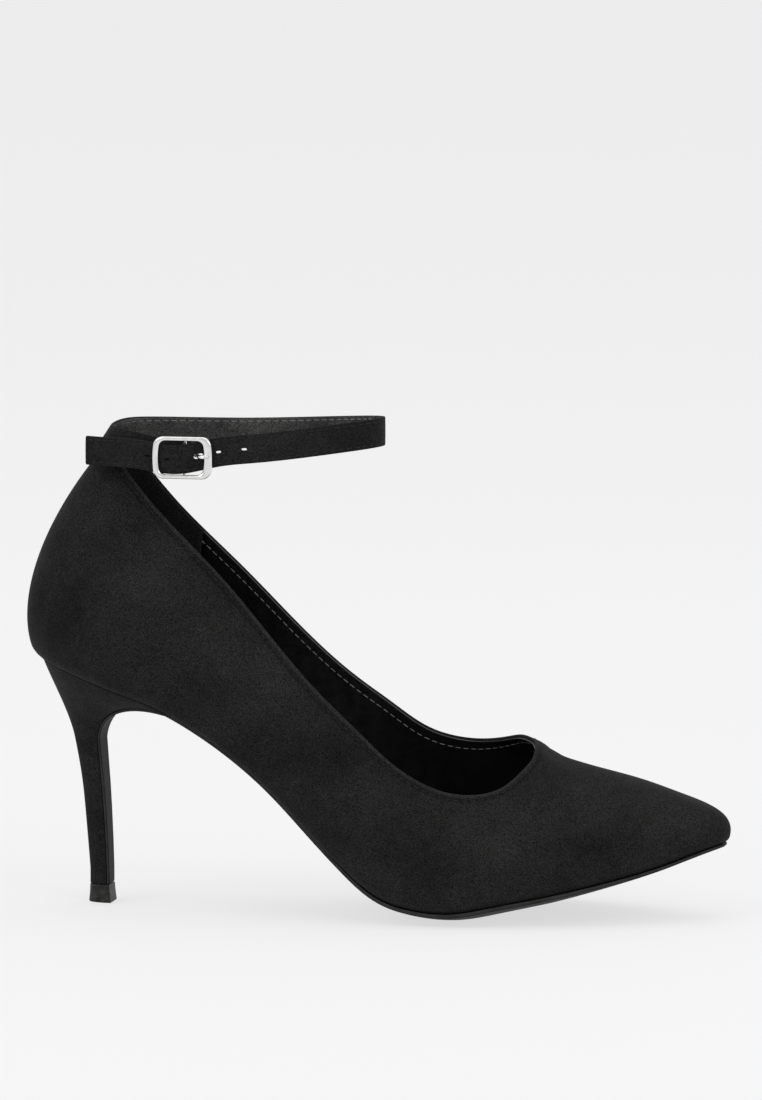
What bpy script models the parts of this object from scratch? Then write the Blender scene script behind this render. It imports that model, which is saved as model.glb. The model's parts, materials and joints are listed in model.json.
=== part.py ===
"""Ankle strap pump, right shoe, standing empty on its heel tip and forefoot.

Frame: +X is the toe, +Z is up, -Y is the outer side of the foot where the buckle sits.
The origin lies on the floor in the middle of the heel's top lift. Sizes are in metres.
"""

import bmesh
import bpy
import numpy as np

# Main sizes of the shoe
SHOE_LENGTH = 0.245          # back of the counter to the toe tip, along the floor
HEEL_SETBACK = 0.025         # from the top lift's middle back to the counter's back
BALL_HALF = 0.038            # half the width across the ball
HEEL_HEIGHT = 0.086          # floor to the heel seat at the back

# Thicknesses
UPPER_WALL = 0.0018
INSOLE_THICK = 0.0012
SOLE_MIDDLE = 0.0026
SOLE_EDGE = 0.0013
SOLE_TOE = 0.0009
TOE_TAPER = 0.060            # length over which the sole thins out to the toe
FLAP_THICK = 0.0009
LIFT_HEIGHT = 0.0064
GAP = 0.0003                 # room left between neighbouring pieces

# Ankle strap and buckle
STRAP_WIDTH = 0.0100
STRAP_THICK = 0.0017
STRAP_HOLE = 0.0011          # radius of a buckle hole
PRONG_HOLE_LENGTH = 0.0020   # how far the slot for the prong is drawn out
BUCKLE_LENGTH = 0.0211
BUCKLE_HEIGHT = 0.0145
BUCKLE_SIDE_BAR = 0.0021
BUCKLE_FRONT_BAR = 0.0029
BUCKLE_RAIL = 0.0014
BUCKLE_THICK = 0.0016
BUCKLE_BULGE = 0.0007        # how far the two end bars bow outwards
BUCKLE_CORNER = 0.0030
BAR_RADIUS = 0.0007
PRONG_RADIUS = 0.0007
PRONG_RING_WALL = 0.0005
PRONG_SETBACK = 0.0024       # from the front bar's window edge back to the middle of its slot
BUCKLE_RISE = 0.0005         # how far the buckle's middle stands above the strap's
BUCKLE_SHIFT = 0.0008        # how far its middle lies ahead of its row in the strap's table

# Where the sections stand: 0 at the back of the heel, 1 at the toe tip
APEX = 0.78                  # section whose top is the middle of the throat
SEAT_FRONT = 0.215           # section where the heel's front lip runs out under the arch
INSOLE_FRONT = 0.945

# Feather line, where the upper meets the sole.
# at, x of SHOE_LENGTH, outer y and inner y of BALL_HALF, outer z and inner z of HEEL_HEIGHT
FEATHER = np.array([
    (0.000, 0.013, 0.000, 0.000, 1.005, 1.005),
    (0.025, 0.023, 0.184, 0.184, 0.993, 0.993),
    (0.066, 0.053, 0.426, 0.426, 0.969, 0.970),
    (0.107, 0.094, 0.579, 0.579, 0.934, 0.937),
    (0.152, 0.143, 0.658, 0.647, 0.888, 0.895),
    (0.195, 0.192, 0.668, 0.637, 0.839, 0.853),
    (0.248, 0.249, 0.658, 0.574, 0.755, 0.776),
    (0.306, 0.306, 0.663, 0.516, 0.648, 0.674),
    (0.368, 0.363, 0.700, 0.505, 0.518, 0.546),
    (0.434, 0.420, 0.774, 0.568, 0.364, 0.390),
    (0.500, 0.478, 0.868, 0.689, 0.211, 0.230),
    (0.562, 0.535, 0.947, 0.821, 0.099, 0.107),
    (0.609, 0.588, 0.984, 0.916, 0.063, 0.067),
    (0.651, 0.637, 0.979, 0.963, 0.060, 0.060),
    (0.690, 0.682, 0.942, 0.968, 0.083, 0.077),
    (0.762, 0.763, 0.805, 0.868, 0.127, 0.122),
    (0.837, 0.845, 0.611, 0.674, 0.180, 0.177),
    (0.905, 0.914, 0.392, 0.453, 0.235, 0.233),
    (0.945, 0.951, 0.245, 0.313, 0.272, 0.270),
    (0.975, 0.974, 0.120, 0.192, 0.294, 0.293),
    (1.000, 0.988, -0.042, 0.042, 0.306, 0.306),
])

# Top edge of the opening on the outer side, back to throat.
# at, x of SHOE_LENGTH, y of BALL_HALF, z of HEEL_HEIGHT
TOPLINE_OUTER = np.array([
    (0.000, 0.137, 0.000, 1.925),
    (0.030, 0.137, -0.140, 1.893),
    (0.066, 0.138, -0.250, 1.816),
    (0.107, 0.158, -0.316, 1.733),
    (0.152, 0.192, -0.379, 1.627),
    (0.248, 0.286, -0.453, 1.363),
    (0.368, 0.388, -0.558, 1.040),
    (0.434, 0.443, -0.642, 0.884),
    (0.500, 0.498, -0.726, 0.747),
    (0.562, 0.553, -0.771, 0.614),
    (0.609, 0.608, -0.763, 0.533),
    (0.651, 0.655, -0.716, 0.513),
    (0.690, 0.691, -0.595, 0.535),
    (0.720, 0.711, -0.463, 0.580),
    (0.745, 0.7225, -0.325, 0.617),
    (0.765, 0.7260, -0.200, 0.650),
    (0.780, 0.7235, -0.080, 0.672),
])

# Top edge of the opening on the inner side, back to throat, same columns
TOPLINE_INNER = np.array([
    (0.030, 0.137, 0.140, 1.896),
    (0.066, 0.138, 0.248, 1.826),
    (0.107, 0.158, 0.305, 1.745),
    (0.152, 0.192, 0.353, 1.628),
    (0.248, 0.282, 0.453, 1.367),
    (0.368, 0.384, 0.553, 1.067),
    (0.434, 0.441, 0.626, 0.918),
    (0.500, 0.494, 0.689, 0.803),
    (0.562, 0.543, 0.718, 0.705),
    (0.609, 0.584, 0.705, 0.664),
    (0.651, 0.627, 0.628, 0.655),
    (0.690, 0.667, 0.480, 0.672),
    (0.720, 0.692, 0.315, 0.689),
    (0.745, 0.709, 0.140, 0.689),
    (0.765, 0.719, 0.015, 0.682),
    (0.780, 0.7235, -0.080, 0.672),
])

# Ridge of the vamp from the throat to the toe, same columns
RIDGE = np.array([
    (0.780, 0.7235, -0.080, 0.672),
    (0.810, 0.742, -0.030, 0.639),
    (0.840, 0.768, 0.030, 0.608),
    (0.872, 0.800, 0.080, 0.581),
    (0.905, 0.838, 0.098, 0.554),
    (0.934, 0.871, 0.095, 0.529),
    (0.960, 0.900, 0.082, 0.503),
    (0.980, 0.918, 0.068, 0.486),
    (1.000, 0.931, 0.061, 0.474),
])

# How the wall of the upper rises between the feather line and its top edge.
# foot: degrees above level, outwards. lean: degrees inwards from upright at the top.
# The two pulls are shares of the straight way from bottom to top. tip: degrees that
# the wall's foot leans towards the toe. fall: degrees that the ridge falls to the toe.
# skew: degrees by which the inner side's lean is larger and the outer side's smaller.
# at, foot, foot_pull, lean, head_pull, tip, fall, skew
WALL = np.array([
    (0.000, 57.0, 0.16, 43.0, 0.58, 0.0, 0.0, 0.0),
    (0.050, 59.0, 0.18, 30.0, 0.49, 4.0, 0.0, 0.0),
    (0.107, 61.0, 0.23, 16.0, 0.40, 9.0, 0.0, 0.0),
    (0.152, 62.0, 0.28, 12.0, 0.37, 11.0, 0.0, 0.0),
    (0.250, 60.0, 0.28, 10.0, 0.32, 11.0, 0.0, 0.0),
    (0.370, 52.0, 0.27, 10.0, 0.30, 8.0, 0.0, 0.0),
    (0.500, 56.0, 0.28, 14.0, 0.30, 5.0, 0.0, 0.0),
    (0.610, 68.0, 0.30, 26.0, 0.30, 3.0, 8.0, 2.0),
    (0.690, 74.0, 0.32, 47.0, 0.30, 0.0, 18.0, 7.0),
    (0.740, 76.0, 0.32, 67.0, 0.31, 0.0, 27.0, 12.0),
    (0.780, 78.0, 0.32, 88.0, 0.32, 0.0, 30.0, 8.0),
    (0.810, 79.0, 0.32, 90.0, 0.33, 0.0, 27.0, 5.0),
    (0.840, 80.0, 0.33, 90.0, 0.34, 0.0, 21.0, 3.0),
    (0.872, 80.0, 0.33, 90.0, 0.35, 0.0, 16.0, 0.0),
    (0.905, 80.0, 0.34, 90.0, 0.37, 0.0, 15.0, 0.0),
    (0.960, 76.0, 0.36, 90.0, 0.45, 0.0, 18.0, 0.0),
    (1.000, 62.0, 0.46, 90.0, 0.58, 0.0, 20.0, 0.0),
])

# Underside of the foot: at, sag below the feather line and inset of the sole's edge,
# both of BALL_HALF
FLOOR = np.array([
    (0.000, 0.000, 0.053),
    (0.215, 0.000, 0.053),
    (0.300, 0.010, 0.053),
    (0.434, 0.034, 0.045),
    (0.530, 0.062, 0.010),
    (0.609, 0.079, -0.006),
    (0.690, 0.071, -0.006),
    (0.837, 0.030, -0.002),
    (0.945, 0.004, 0.008),
    (1.000, 0.000, 0.016),
])

# Stem of the heel: z, x of its back, x of its front and half width, all of HEEL_HEIGHT
STEM = np.array([
    (0.663, -0.1175, -0.0150, 0.0710),
    (0.581, -0.1020, -0.0082, 0.0660),
    (0.483, -0.0870, 0.0000, 0.0616),
    (0.378, -0.0765, 0.0070, 0.0570),
    (0.256, -0.0663, 0.0130, 0.0535),
    (0.140, -0.0570, 0.0170, 0.0512),
])

# Handles of the heel's curves between seat and stem, as shares of the way between them:
# first at the front lip, then at the back
LIP_LEAVES = np.array([0.44, 0.08, -0.26])
NECK_MEETS = np.array([0.02, 0.10, 0.98])
BACK_LEAVES = np.array([0.30, 0.22, 0.31])
BACK_MEETS = np.array([0.18, 0.05, 0.33])

# Middle of the strap from its end at the buckle, round the heel and the ankle, to its tip.
# x of SHOE_LENGTH, y of BALL_HALF, z of HEEL_HEIGHT, lean in degrees
STRAP = np.array([
    (0.249, -0.572, 1.848, 0.0),
    (0.229, -0.574, 1.850, 0.0),
    (0.190, -0.570, 1.867, 4.0),
    (0.153, -0.478, 1.884, 12.0),
    (0.124, -0.318, 1.892, 22.0),
    (0.1095, 0.000, 1.899, 34.0),
    (0.126, 0.330, 1.901, 22.0),
    (0.160, 0.480, 1.897, 10.0),
    (0.224, 0.594, 1.892, 2.0),
    (0.306, 0.612, 1.894, 0.0),
    (0.388, 0.552, 1.905, 0.0),
    (0.453, 0.392, 1.919, 0.0),
    (0.491, 0.190, 1.930, 0.0),
    (0.5055, -0.020, 1.936, 0.0),
    (0.494, -0.250, 1.934, 0.0),
    (0.460, -0.438, 1.924, 0.0),
    (0.404, -0.586, 1.905, 0.0),
    (0.339, -0.668, 1.885, 0.0),
    (0.290, -0.694, 1.869, 0.0),
    (0.260, -0.704, 1.850, 0.0),
    (0.239, -0.716, 1.839, 0.0),
    (0.218, -0.706, 1.838, 0.0),
    (0.196, -0.682, 1.846, 0.0),
    (0.160, -0.622, 1.856, 0.0),
    (0.125, -0.533, 1.856, 0.0),
    (0.0955, -0.450, 1.856, 0.0),
])
STRAP_HOLES_X = (0.160, 0.220, 0.292, 0.328)    # of SHOE_LENGTH
BUCKLE_ROW = 20                                 # row of the table that lies on the buckle's bar

# How finely the pieces are divided
SIDE_COLUMNS = 48
WALL_ROWS = 11
STRAP_STEPS = 92

SUEDE = (0.016, 0.016, 0.017)
LINING = (0.006, 0.006, 0.006)
SOLE_GREY = (0.045, 0.044, 0.043)
LIFT_GREY = (0.070, 0.069, 0.068)
SILVER = (0.80, 0.80, 0.79)


def spline(knots, rows, at, flat_ends=False):
    """Smooth curve through the rows of a table, read at the places given.

    Each span is a cubic and neighbouring spans share slope and bend.
    With flat_ends the curve comes to rest at both ends.
    """
    knots, rows, at = np.asarray(knots), np.asarray(rows, float), np.asarray(at, float)
    n = len(knots)
    step = np.diff(knots)
    rise = np.diff(rows, axis=0) / step[:, None]
    system, pull = np.eye(n), np.zeros_like(rows)
    for i in range(1, n - 1):
        system[i, i - 1:i + 2] = step[i - 1], 2 * (step[i - 1] + step[i]), step[i]
        pull[i] = 6 * (rise[i] - rise[i - 1])
    if flat_ends:
        system[0, :2] = 2 * step[0], step[0]
        system[-1, -2:] = step[-1], 2 * step[-1]
        pull[0], pull[-1] = 6 * rise[0], -6 * rise[-1]
    bend = np.linalg.solve(system, pull)
    i = np.clip(np.searchsorted(knots, at, side="right") - 1, 0, n - 2)
    h = step[i][:, None]
    b = (at - knots[i])[:, None] / h
    a = 1 - b
    curved = ((a ** 3 - a) * bend[i] + (b ** 3 - b) * bend[i + 1]) * h ** 2 / 6
    return a * rows[i] + b * rows[i + 1] + curved


def mirrored(table, at):
    """Reads a table that holds for both sides of the shoe, smooth at the heel and at the toe."""
    knots = np.concatenate([-table[:0:-1, 0], table[:, 0], 2 - table[-2::-1, 0]])
    rows = np.concatenate([table[:0:-1, 1:], table[:, 1:], table[-2::-1, 1:]])
    return spline(knots, rows, np.abs(at))


def placed(rows):
    """Turns shares of the named sizes into a place on the shoe."""
    scale = np.array([SHOE_LENGTH, BALL_HALF, HEEL_HEIGHT])
    return rows * scale - np.array([HEEL_SETBACK, 0, 0])


def feather(at):
    """Feather line; at runs from -1 (toe, outer side) over 0 (back) to 1 (toe, inner side)."""
    outer = FEATHER[:, [1, 2, 4]] * (1, -1, 1)
    inner = FEATHER[:, [1, 3, 5]]
    knots = np.concatenate([-FEATHER[::-1, 0], FEATHER[1:, 0]])
    rows = np.concatenate([outer[::-1], inner[1:]])
    knots = np.concatenate([knots[:-1] - 2, knots, knots[1:] + 2])
    rows = np.concatenate([rows[:-1], rows, rows[1:]])
    return placed(spline(knots, rows, at))


def outward(at):
    """Level direction square to the feather line, away from the foot."""
    along = feather(np.asarray(at) + 1e-4) - feather(np.asarray(at) - 1e-4)
    normal = np.stack([-along[:, 1], along[:, 0], np.zeros(len(along))], -1)
    return normal / np.linalg.norm(normal, axis=1)[:, None]


def top_edge(at):
    """Top of each section: the opening's edge up to the throat, then the ridge of the vamp."""
    at = np.asarray(at)
    knots = np.concatenate([-TOPLINE_OUTER[::-1, 0], TOPLINE_INNER[:, 0]])
    rows = np.concatenate([TOPLINE_OUTER[::-1, 1:], TOPLINE_INNER[:, 1:]])
    edge = spline(knots, rows, np.clip(at, -APEX, APEX), flat_ends=True)
    ridge = spline(RIDGE[:, 0], RIDGE[:, 1:], np.clip(np.abs(at), APEX, 1), flat_ends=True)
    return placed(np.where(np.abs(at)[:, None] < APEX, edge, ridge))


def wall_handles(at):
    """Four points that steer each section of the upper from the feather line to its top."""
    bottom, top, out = feather(at), top_edge(at), outward(at)
    foot, foot_pull, lean, head_pull, tip, fall, skew = mirrored(WALL, at).T
    foot, lean, tip, fall = np.radians([foot, lean + skew * np.sign(at), tip, fall])
    span = np.linalg.norm(top - bottom, axis=1)
    none = np.zeros_like(tip)
    up = np.stack([np.sin(tip), none, np.cos(tip)], -1)
    rise = np.cos(foot)[:, None] * out + np.sin(foot)[:, None] * up
    over = np.stack([-out[:, 0], -out[:, 1], out[:, 0] * np.tan(fall)], -1)
    arrive = np.sin(lean)[:, None] * over + np.cos(lean)[:, None] * up
    low = bottom + (foot_pull * span)[:, None] * rise
    high = top - (head_pull * span)[:, None] * arrive
    return bottom, low, high, top


def bezier(points, share):
    """Curve steered by four points; share runs from 0 at the first to 1 at the last."""
    share = np.asarray(share)[None, :, None]
    rest = 1 - share
    p = [q[:, None, :] for q in points]
    start = rest ** 3 * p[0] + 3 * rest ** 2 * share * p[1]
    return start + 3 * rest * share ** 2 * p[2] + share ** 3 * p[3]


def mesh_object(name, points, faces, smooth=True):
    """New object from points and faces, all faces turned outwards."""
    mesh = bpy.data.meshes.new(name)
    mesh.from_pydata([tuple(p) for p in np.asarray(points, float)], [], [tuple(f) for f in faces])
    mesh.validate()
    mesh.shade_smooth() if smooth else mesh.shade_flat()
    obj = bpy.data.objects.new(name, mesh)
    bpy.context.scene.collection.objects.link(obj)
    return obj


def material(obj, name, colour, roughness, metallic=0.0):
    """Plain surface for a whole piece."""
    mat = bpy.data.materials.new(name)
    mat.use_nodes = True
    shader = mat.node_tree.nodes["Principled BSDF"]
    shader.inputs["Base Color"].default_value = (*colour, 1)
    shader.inputs["Roughness"].default_value = roughness
    shader.inputs["Metallic"].default_value = metallic
    obj.data.materials.append(mat)


def strip_faces(first, second, closed=False):
    """Two triangles for each step between two rows of point numbers."""
    count = len(first) if closed else len(first) - 1
    faces = []
    for i in range(count):
        j = (i + 1) % len(first)
        faces += [(first[i], first[j], second[j]), (first[i], second[j], second[i])]
    return faces


def side_stations():
    """Places of the sections along one side, closer where the shape turns quickly."""
    even = np.linspace(0, 1, 2001)
    crowd = 1 + 1.6 * np.exp(-(even / 0.10) ** 2) + 1.2 * np.exp(-((even - 0.74) / 0.06) ** 2)
    crowd += 2.4 * np.exp(-((even - 1) / 0.07) ** 2)
    way = np.concatenate([[0], np.cumsum((crowd[1:] + crowd[:-1]) / 2)])
    stations = np.interp(np.linspace(0, way[-1], SIDE_COLUMNS + 1), way, even)
    stations[np.argmin(np.abs(stations - APEX))] = APEX
    return stations


def build_upper():
    """Hollow upper: inner skin on the last, outer skin one wall outside it, rims between them."""
    one_side = side_stations()
    at = np.concatenate([-one_side[:0:-1], one_side[:-1]])
    rows = np.linspace(0, 1, WALL_ROWS + 1)
    skin = bezier(wall_handles(at), rows)
    columns, height = len(at), len(rows)
    number = np.arange(columns * height).reshape(columns, height)
    ridge = np.abs(at) >= APEX - 1e-9
    twin = {c: int(np.argmin(np.abs(at + at[c]))) for c in np.flatnonzero(ridge)}
    for c, other in twin.items():
        if at[c] > 0:
            number[c, -1] = number[other, -1]
    faces = []
    for c in range(columns):
        faces += strip_faces(number[c], number[(c + 1) % columns])
    faces = [f for f in faces if len(set(f)) == 3]
    inner = skin.reshape(-1, 3)
    outer = inner + vertex_normals(inner, faces) * UPPER_WALL
    inset = UPPER_WALL / np.sin(np.radians(mirrored(WALL, at)[:, 0]))
    bottom = skin[:, 0] - outward(at) * inset[:, None]
    half = np.abs(feather(-np.abs(at))[:, 1] - feather(np.abs(at))[:, 1]) / 2
    share = np.clip(1 - inset / np.maximum(half, 1e-6), 0, 1) * np.sign(at)
    sag = mirrored(FLOOR, at)[:, 0] * BALL_HALF
    bottom[:, 2] = skin[:, 0, 2] - sag * (1 - np.abs(share) ** 2.2)
    outer[number[:, 0]] = skin[:, 0]
    inner[number[:, 0]] = bottom
    shift = len(inner)
    body = [f[::-1] for f in faces] + [(a + shift, b + shift, c + shift) for a, b, c in faces]
    rim = number[:, 0]
    body += [f for f in strip_faces(rim, rim + shift, closed=True)]
    first, last = np.flatnonzero(np.abs(at) <= APEX + 1e-9)[[0, -1]]
    edge = number[first:last + 1, -1]
    body += [f[::-1] for f in strip_faces(edge[:-1], edge[:-1] + shift, closed=True)]
    upper = mesh_object("upper", np.concatenate([inner, outer]), body)
    tidy(upper)
    material(upper, "black_suede", SUEDE, 0.95)
    return upper


def vertex_normals(points, faces):
    """Outward direction at each point, from the faces round it."""
    faces = np.array(faces)
    a, b, c = points[faces[:, 0]], points[faces[:, 1]], points[faces[:, 2]]
    face_normal = np.cross(b - a, c - a)
    total = np.zeros_like(points)
    for corner in range(3):
        np.add.at(total, faces[:, corner], face_normal)
    length = np.linalg.norm(total, axis=1)
    return total / np.maximum(length, 1e-12)[:, None]


def tidy(obj):
    """Drops unused points, joins equal ones and turns every face outwards."""
    work = bmesh.new()
    work.from_mesh(obj.data)
    bmesh.ops.delete(work, geom=[v for v in work.verts if not v.link_faces], context="VERTS")
    bmesh.ops.remove_doubles(work, verts=work.verts, dist=1e-6)
    bmesh.ops.recalc_face_normals(work, faces=work.faces)
    work.to_mesh(obj.data)
    work.free()


def heel_corner(side):
    """Handles of the heel's front edge, from the lip under the arch down to the stem."""
    lip = feather(np.array([side * SEAT_FRONT]))[0]
    stem_z, _, stem_x, stem_w = STEM[0] * HEEL_HEIGHT
    neck = np.array([stem_x, side * stem_w, stem_z])
    span = neck - lip
    return lip, lip + span * LIP_LEAVES, neck - span * NECK_MEETS, neck


def build_heel():
    """Suede covered stiletto: a seat as wide as the upper, drawn in to a slim stem."""
    turn = np.linspace(0, np.pi, 27)
    spread = np.linspace(-SEAT_FRONT, SEAT_FRONT, len(turn))
    seat = feather(spread)
    stem_z, back, front, width = STEM[0] * HEEL_HEIGHT
    neck = stem_ring(turn, stem_z, back, front, width)
    span = neck - seat
    lip = (1 - np.sin(turn))[:, None] ** 3
    leave = lip * LIP_LEAVES + (1 - lip) * BACK_LEAVES
    come = lip * NECK_MEETS + (1 - lip) * BACK_MEETS
    levels = np.array([0, 0.08, 0.18, 0.29, 0.41, 0.54, 0.67, 0.8, 0.91, 1])
    flow = bezier((seat, seat + span * leave, neck - span * come, neck), levels)
    rings = [flow[:, k] for k in range(len(levels))]
    rings[0] = rings[0] - np.array([0, 0, GAP])
    for z, back, front, width in STEM[1:] * HEEL_HEIGHT:
        rings.append(stem_ring(turn, z, back, front, width))
    _, back, front, width = STEM[-1] * HEEL_HEIGHT
    rings.append(stem_ring(turn, LIFT_HEIGHT + GAP, back, front, width))
    rings = [with_front(ring) for ring in rings]
    heel = loft("heel", rings)
    material(heel, "black_suede_heel", SUEDE, 0.95)
    return heel


def stem_ring(turn, z, back, front, width):
    """Half round section of the stem with a flat front."""
    return np.stack([front - (front - back) * np.sin(turn), -width * np.cos(turn), 0 * turn + z], -1)


def with_front(ring, steps=6):
    """Closes an open section with a straight front from its last point to its first."""
    share = np.linspace(0, 1, steps + 1)[1:-1, None]
    return np.concatenate([ring, ring[-1] + (ring[0] - ring[-1]) * share])


def loft(name, rings, smooth=True):
    """Skin over a row of closed sections with a flat end at either side."""
    count = len(rings[0])
    middles = [np.mean(rings[k], axis=0)[None] for k in (0, -1)]
    points = np.concatenate(list(rings) + middles)
    faces = []
    for k in range(len(rings) - 1):
        low = list(range(k * count, (k + 1) * count))
        faces += strip_faces(low, [i + count for i in low], closed=True)
    first, last = len(points) - 2, len(points) - 1
    base = (len(rings) - 1) * count
    for i in range(count):
        j = (i + 1) % count
        faces += [(first, j, i), (last, base + i, base + j)]
    obj = mesh_object(name, points, faces, smooth)
    tidy(obj)
    return obj


def sole_path():
    """Both edges of the sole's upper face, from the toe to the foot of the heel breast."""
    at = np.concatenate([[0.988, 0.980, 0.968, 0.950], np.linspace(0.925, 0.70, 10),
                         np.linspace(0.68, 0.55, 8), np.linspace(0.53, SEAT_FRONT + 0.012, 13)])
    outer, inner = feather(-at), feather(at)
    drop = np.linspace(0, 1, 11)
    corner_outer = bezier([p[None] for p in heel_corner(-1)], drop)[0]
    corner_inner = bezier([p[None] for p in heel_corner(1)], drop)[0]
    stem = np.array([(front, width, z) for z, _, front, width in STEM[1:] * HEEL_HEIGHT])
    foot = np.array([[stem[-1, 0], stem[-1, 1], LIFT_HEIGHT + GAP]])
    stem = np.concatenate([stem, foot])
    outer = np.concatenate([outer, corner_outer, stem * (1, -1, 1)])
    inner = np.concatenate([inner, corner_inner, stem])
    floor = mirrored(FLOOR, np.concatenate([at, np.full(len(drop) + len(stem), SEAT_FRONT)]))
    return outer, inner, floor[:, 0] * BALL_HALF, floor[:, 1] * BALL_HALF, len(at)


def build_outsole():
    """Thin sole from the toe through the arch, turned down over the front of the heel."""
    outer, inner, sag, inset, level_rows = sole_path()
    rows = len(outer)
    middle = (outer + inner) / 2
    along = np.gradient(middle[:, [0, 2]], axis=0)
    along /= np.linalg.norm(along, axis=1)[:, None]
    down = np.stack([-along[:, 1], np.zeros(rows), along[:, 0]], -1)
    half = (inner - outer)[:, 1] / 2
    past = np.clip((np.arange(rows) - level_rows) / 8, 0, 1)
    inset = inset * (1 - past) + 0.0002 * past
    half = np.maximum(half - inset, half * 0.55)
    across = np.array([-1, -0.93, -0.8, -0.62, -0.42, -0.21, 0, 0.21, 0.42, 0.62, 0.8, 0.93, 1])
    edge = np.abs(across) ** 2.2
    thick = SOLE_MIDDLE + (SOLE_EDGE - SOLE_MIDDLE) * edge
    flap = FLAP_THICK + 0 * across
    rings = []
    for k in range(rows):
        share = across * half[k] / max((inner - outer)[k, 1] / 2, 1e-9)
        top = middle[k] + np.outer(share, (inner[k] - outer[k]) / 2)
        top[:, 2] -= sag[k] * (1 - np.abs(share) ** 2.2)
        top = top - down[k] * -GAP
        slim = np.clip((middle[k, 0] + HEEL_SETBACK) / SHOE_LENGTH / 0.45, 0, 1)
        blend = 0.0 if past[k] > 0 else slim ** 2
        toe = np.clip((SHOE_LENGTH - HEEL_SETBACK - middle[k, 0]) / TOE_TAPER, 0, 1)
        full = SOLE_TOE + (thick - SOLE_TOE) * toe
        depth = (full * blend + flap * (1 - blend)) * np.where(np.abs(across) == 1, 0.72, 1)
        bottom = top + down[k] * depth[:, None]
        bottom[:, 2] = np.maximum(bottom[:, 2], 0)
        shrink = np.where(np.abs(across) == 1, 0.0004, 0) * np.sign(across)
        bottom[:, 1] -= shrink
        rings.append(np.concatenate([top, bottom[::-1]]))
    sole = loft("outsole", rings)
    material(sole, "grey_outsole", SOLE_GREY, 0.45)
    return sole


def build_top_lift():
    """Small hard block under the stem that stands on the floor."""
    turn = np.linspace(0, np.pi, 19)
    _, back, front, width = STEM[-1] * HEEL_HEIGHT
    reach = front + GAP + FLAP_THICK
    sections = ((0, 0.0002), (0.0004, 0.0005), (LIFT_HEIGHT * 0.5, 0.0002), (LIFT_HEIGHT, 0.0001))
    rings = []
    for z, grow in sections:
        flare = 0.0004 * (1 - z / LIFT_HEIGHT)
        ring = stem_ring(turn, z, back - grow, reach + flare + grow * 0.5, width + grow)
        rings.append(with_front(ring))
    lift = loft("top_lift", rings)
    material(lift, "grey_top_lift", LIFT_GREY, 0.3)
    return lift


def build_insole():
    """Thin board with its sock, lying inside the upper from the heel to the toes."""
    at = np.concatenate([[0.012, 0.03, 0.055, 0.085], np.linspace(0.12, INSOLE_FRONT, 34)])
    across = np.linspace(-1, 1, 7)
    inset = UPPER_WALL / np.sin(np.radians(mirrored(WALL, at)[:, 0])) + GAP
    outer = feather(-at) - outward(-at) * inset[:, None]
    inner = feather(at) - outward(at) * inset[:, None]
    rings = []
    for k in range(len(at)):
        share = across[:, None]
        top = (outer[k] + inner[k]) / 2 + (inner[k] - outer[k]) / 2 * share
        whole = feather(at[k:k + 1])[0, 1] - feather(-at[k:k + 1])[0, 1]
        side = 2 * (top[:, 1] - (feather(at[k:k + 1])[0, 1] + feather(-at[k:k + 1])[0, 1]) / 2) / whole
        sag = mirrored(FLOOR, at[k:k + 1])[0, 0] * BALL_HALF
        low = top.copy()
        low[:, 2] = top[:, 2] - sag * (1 - np.clip(np.abs(side), 0, 1) ** 2.2)
        high = low + np.array([0, 0, INSOLE_THICK])
        rings.append(np.concatenate([low, high[::-1]]))
    insole = loft("insole", rings)
    material(insole, "black_sock", LINING, 0.5)
    return insole


def strap_line(share):
    """Middle line of the strap with its lean; share runs 0 to 1 along it."""
    rows = np.concatenate([placed(STRAP[:, :3]), STRAP[:, 3:] / 1000], axis=1)
    step = np.linalg.norm(np.diff(rows[:, :3], axis=0), axis=1)
    knots = np.concatenate([[0], np.cumsum(step)])
    return spline(knots / knots[-1], rows, share)


def strap_frame(share):
    """Middle, way along, outward and upward directions of the strap at the places given."""
    line = strap_line(share)
    later, earlier = np.clip(share + 1e-3, 0, 1), np.clip(share - 1e-3, 0, 1)
    ahead = strap_line(later)[:, :3] - strap_line(earlier)[:, :3]
    ahead /= np.linalg.norm(ahead, axis=1)[:, None]
    out = np.stack([-ahead[:, 1], ahead[:, 0], 0 * ahead[:, 0]], -1)
    out /= np.linalg.norm(out, axis=1)[:, None]
    lean = np.radians(line[:, 3] * 1000)[:, None]
    up = np.cross(out, ahead)
    up *= np.sign(up[:, 2:3])
    tall = np.cos(lean) * up - np.sin(lean) * out
    thick = np.cos(lean) * out + np.sin(lean) * up
    return line[:, :3], ahead, thick, tall


def build_strap():
    """One long band in two layers on the outer side, pierced for the buckle's prong."""
    share = np.linspace(0, 1, STRAP_STEPS + 1)
    middle, _, thick, tall = strap_frame(share)
    w, t, c = STRAP_WIDTH / 2, STRAP_THICK / 2, STRAP_THICK * 0.22
    outline = [(-w, -t + c), (-w, t - c), (-w + c, t), (w - c, t),
               (w, t - c), (w, -t + c), (w - c, -t), (-w + c, -t)]
    rings = [np.array([m + a * z + b * n for a, b in outline]) for m, n, z in zip(middle, thick, tall)]
    strap = loft("ankle_strap", rings)
    for hole in STRAP_HOLES_X:
        pierce(strap, hole, False)
    pierce(strap, prong_hole_x(), True)
    material(strap, "black_suede_strap", SUEDE, 0.95)
    return strap


def prong_hole_x():
    """Share of the shoe's length at which the prong comes through, just behind the front bar."""
    ahead = BUCKLE_LENGTH / 2 - BUCKLE_FRONT_BAR - PRONG_SETBACK
    return STRAP[BUCKLE_ROW, 0] + (ahead + BUCKLE_SHIFT) / SHOE_LENGTH


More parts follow.
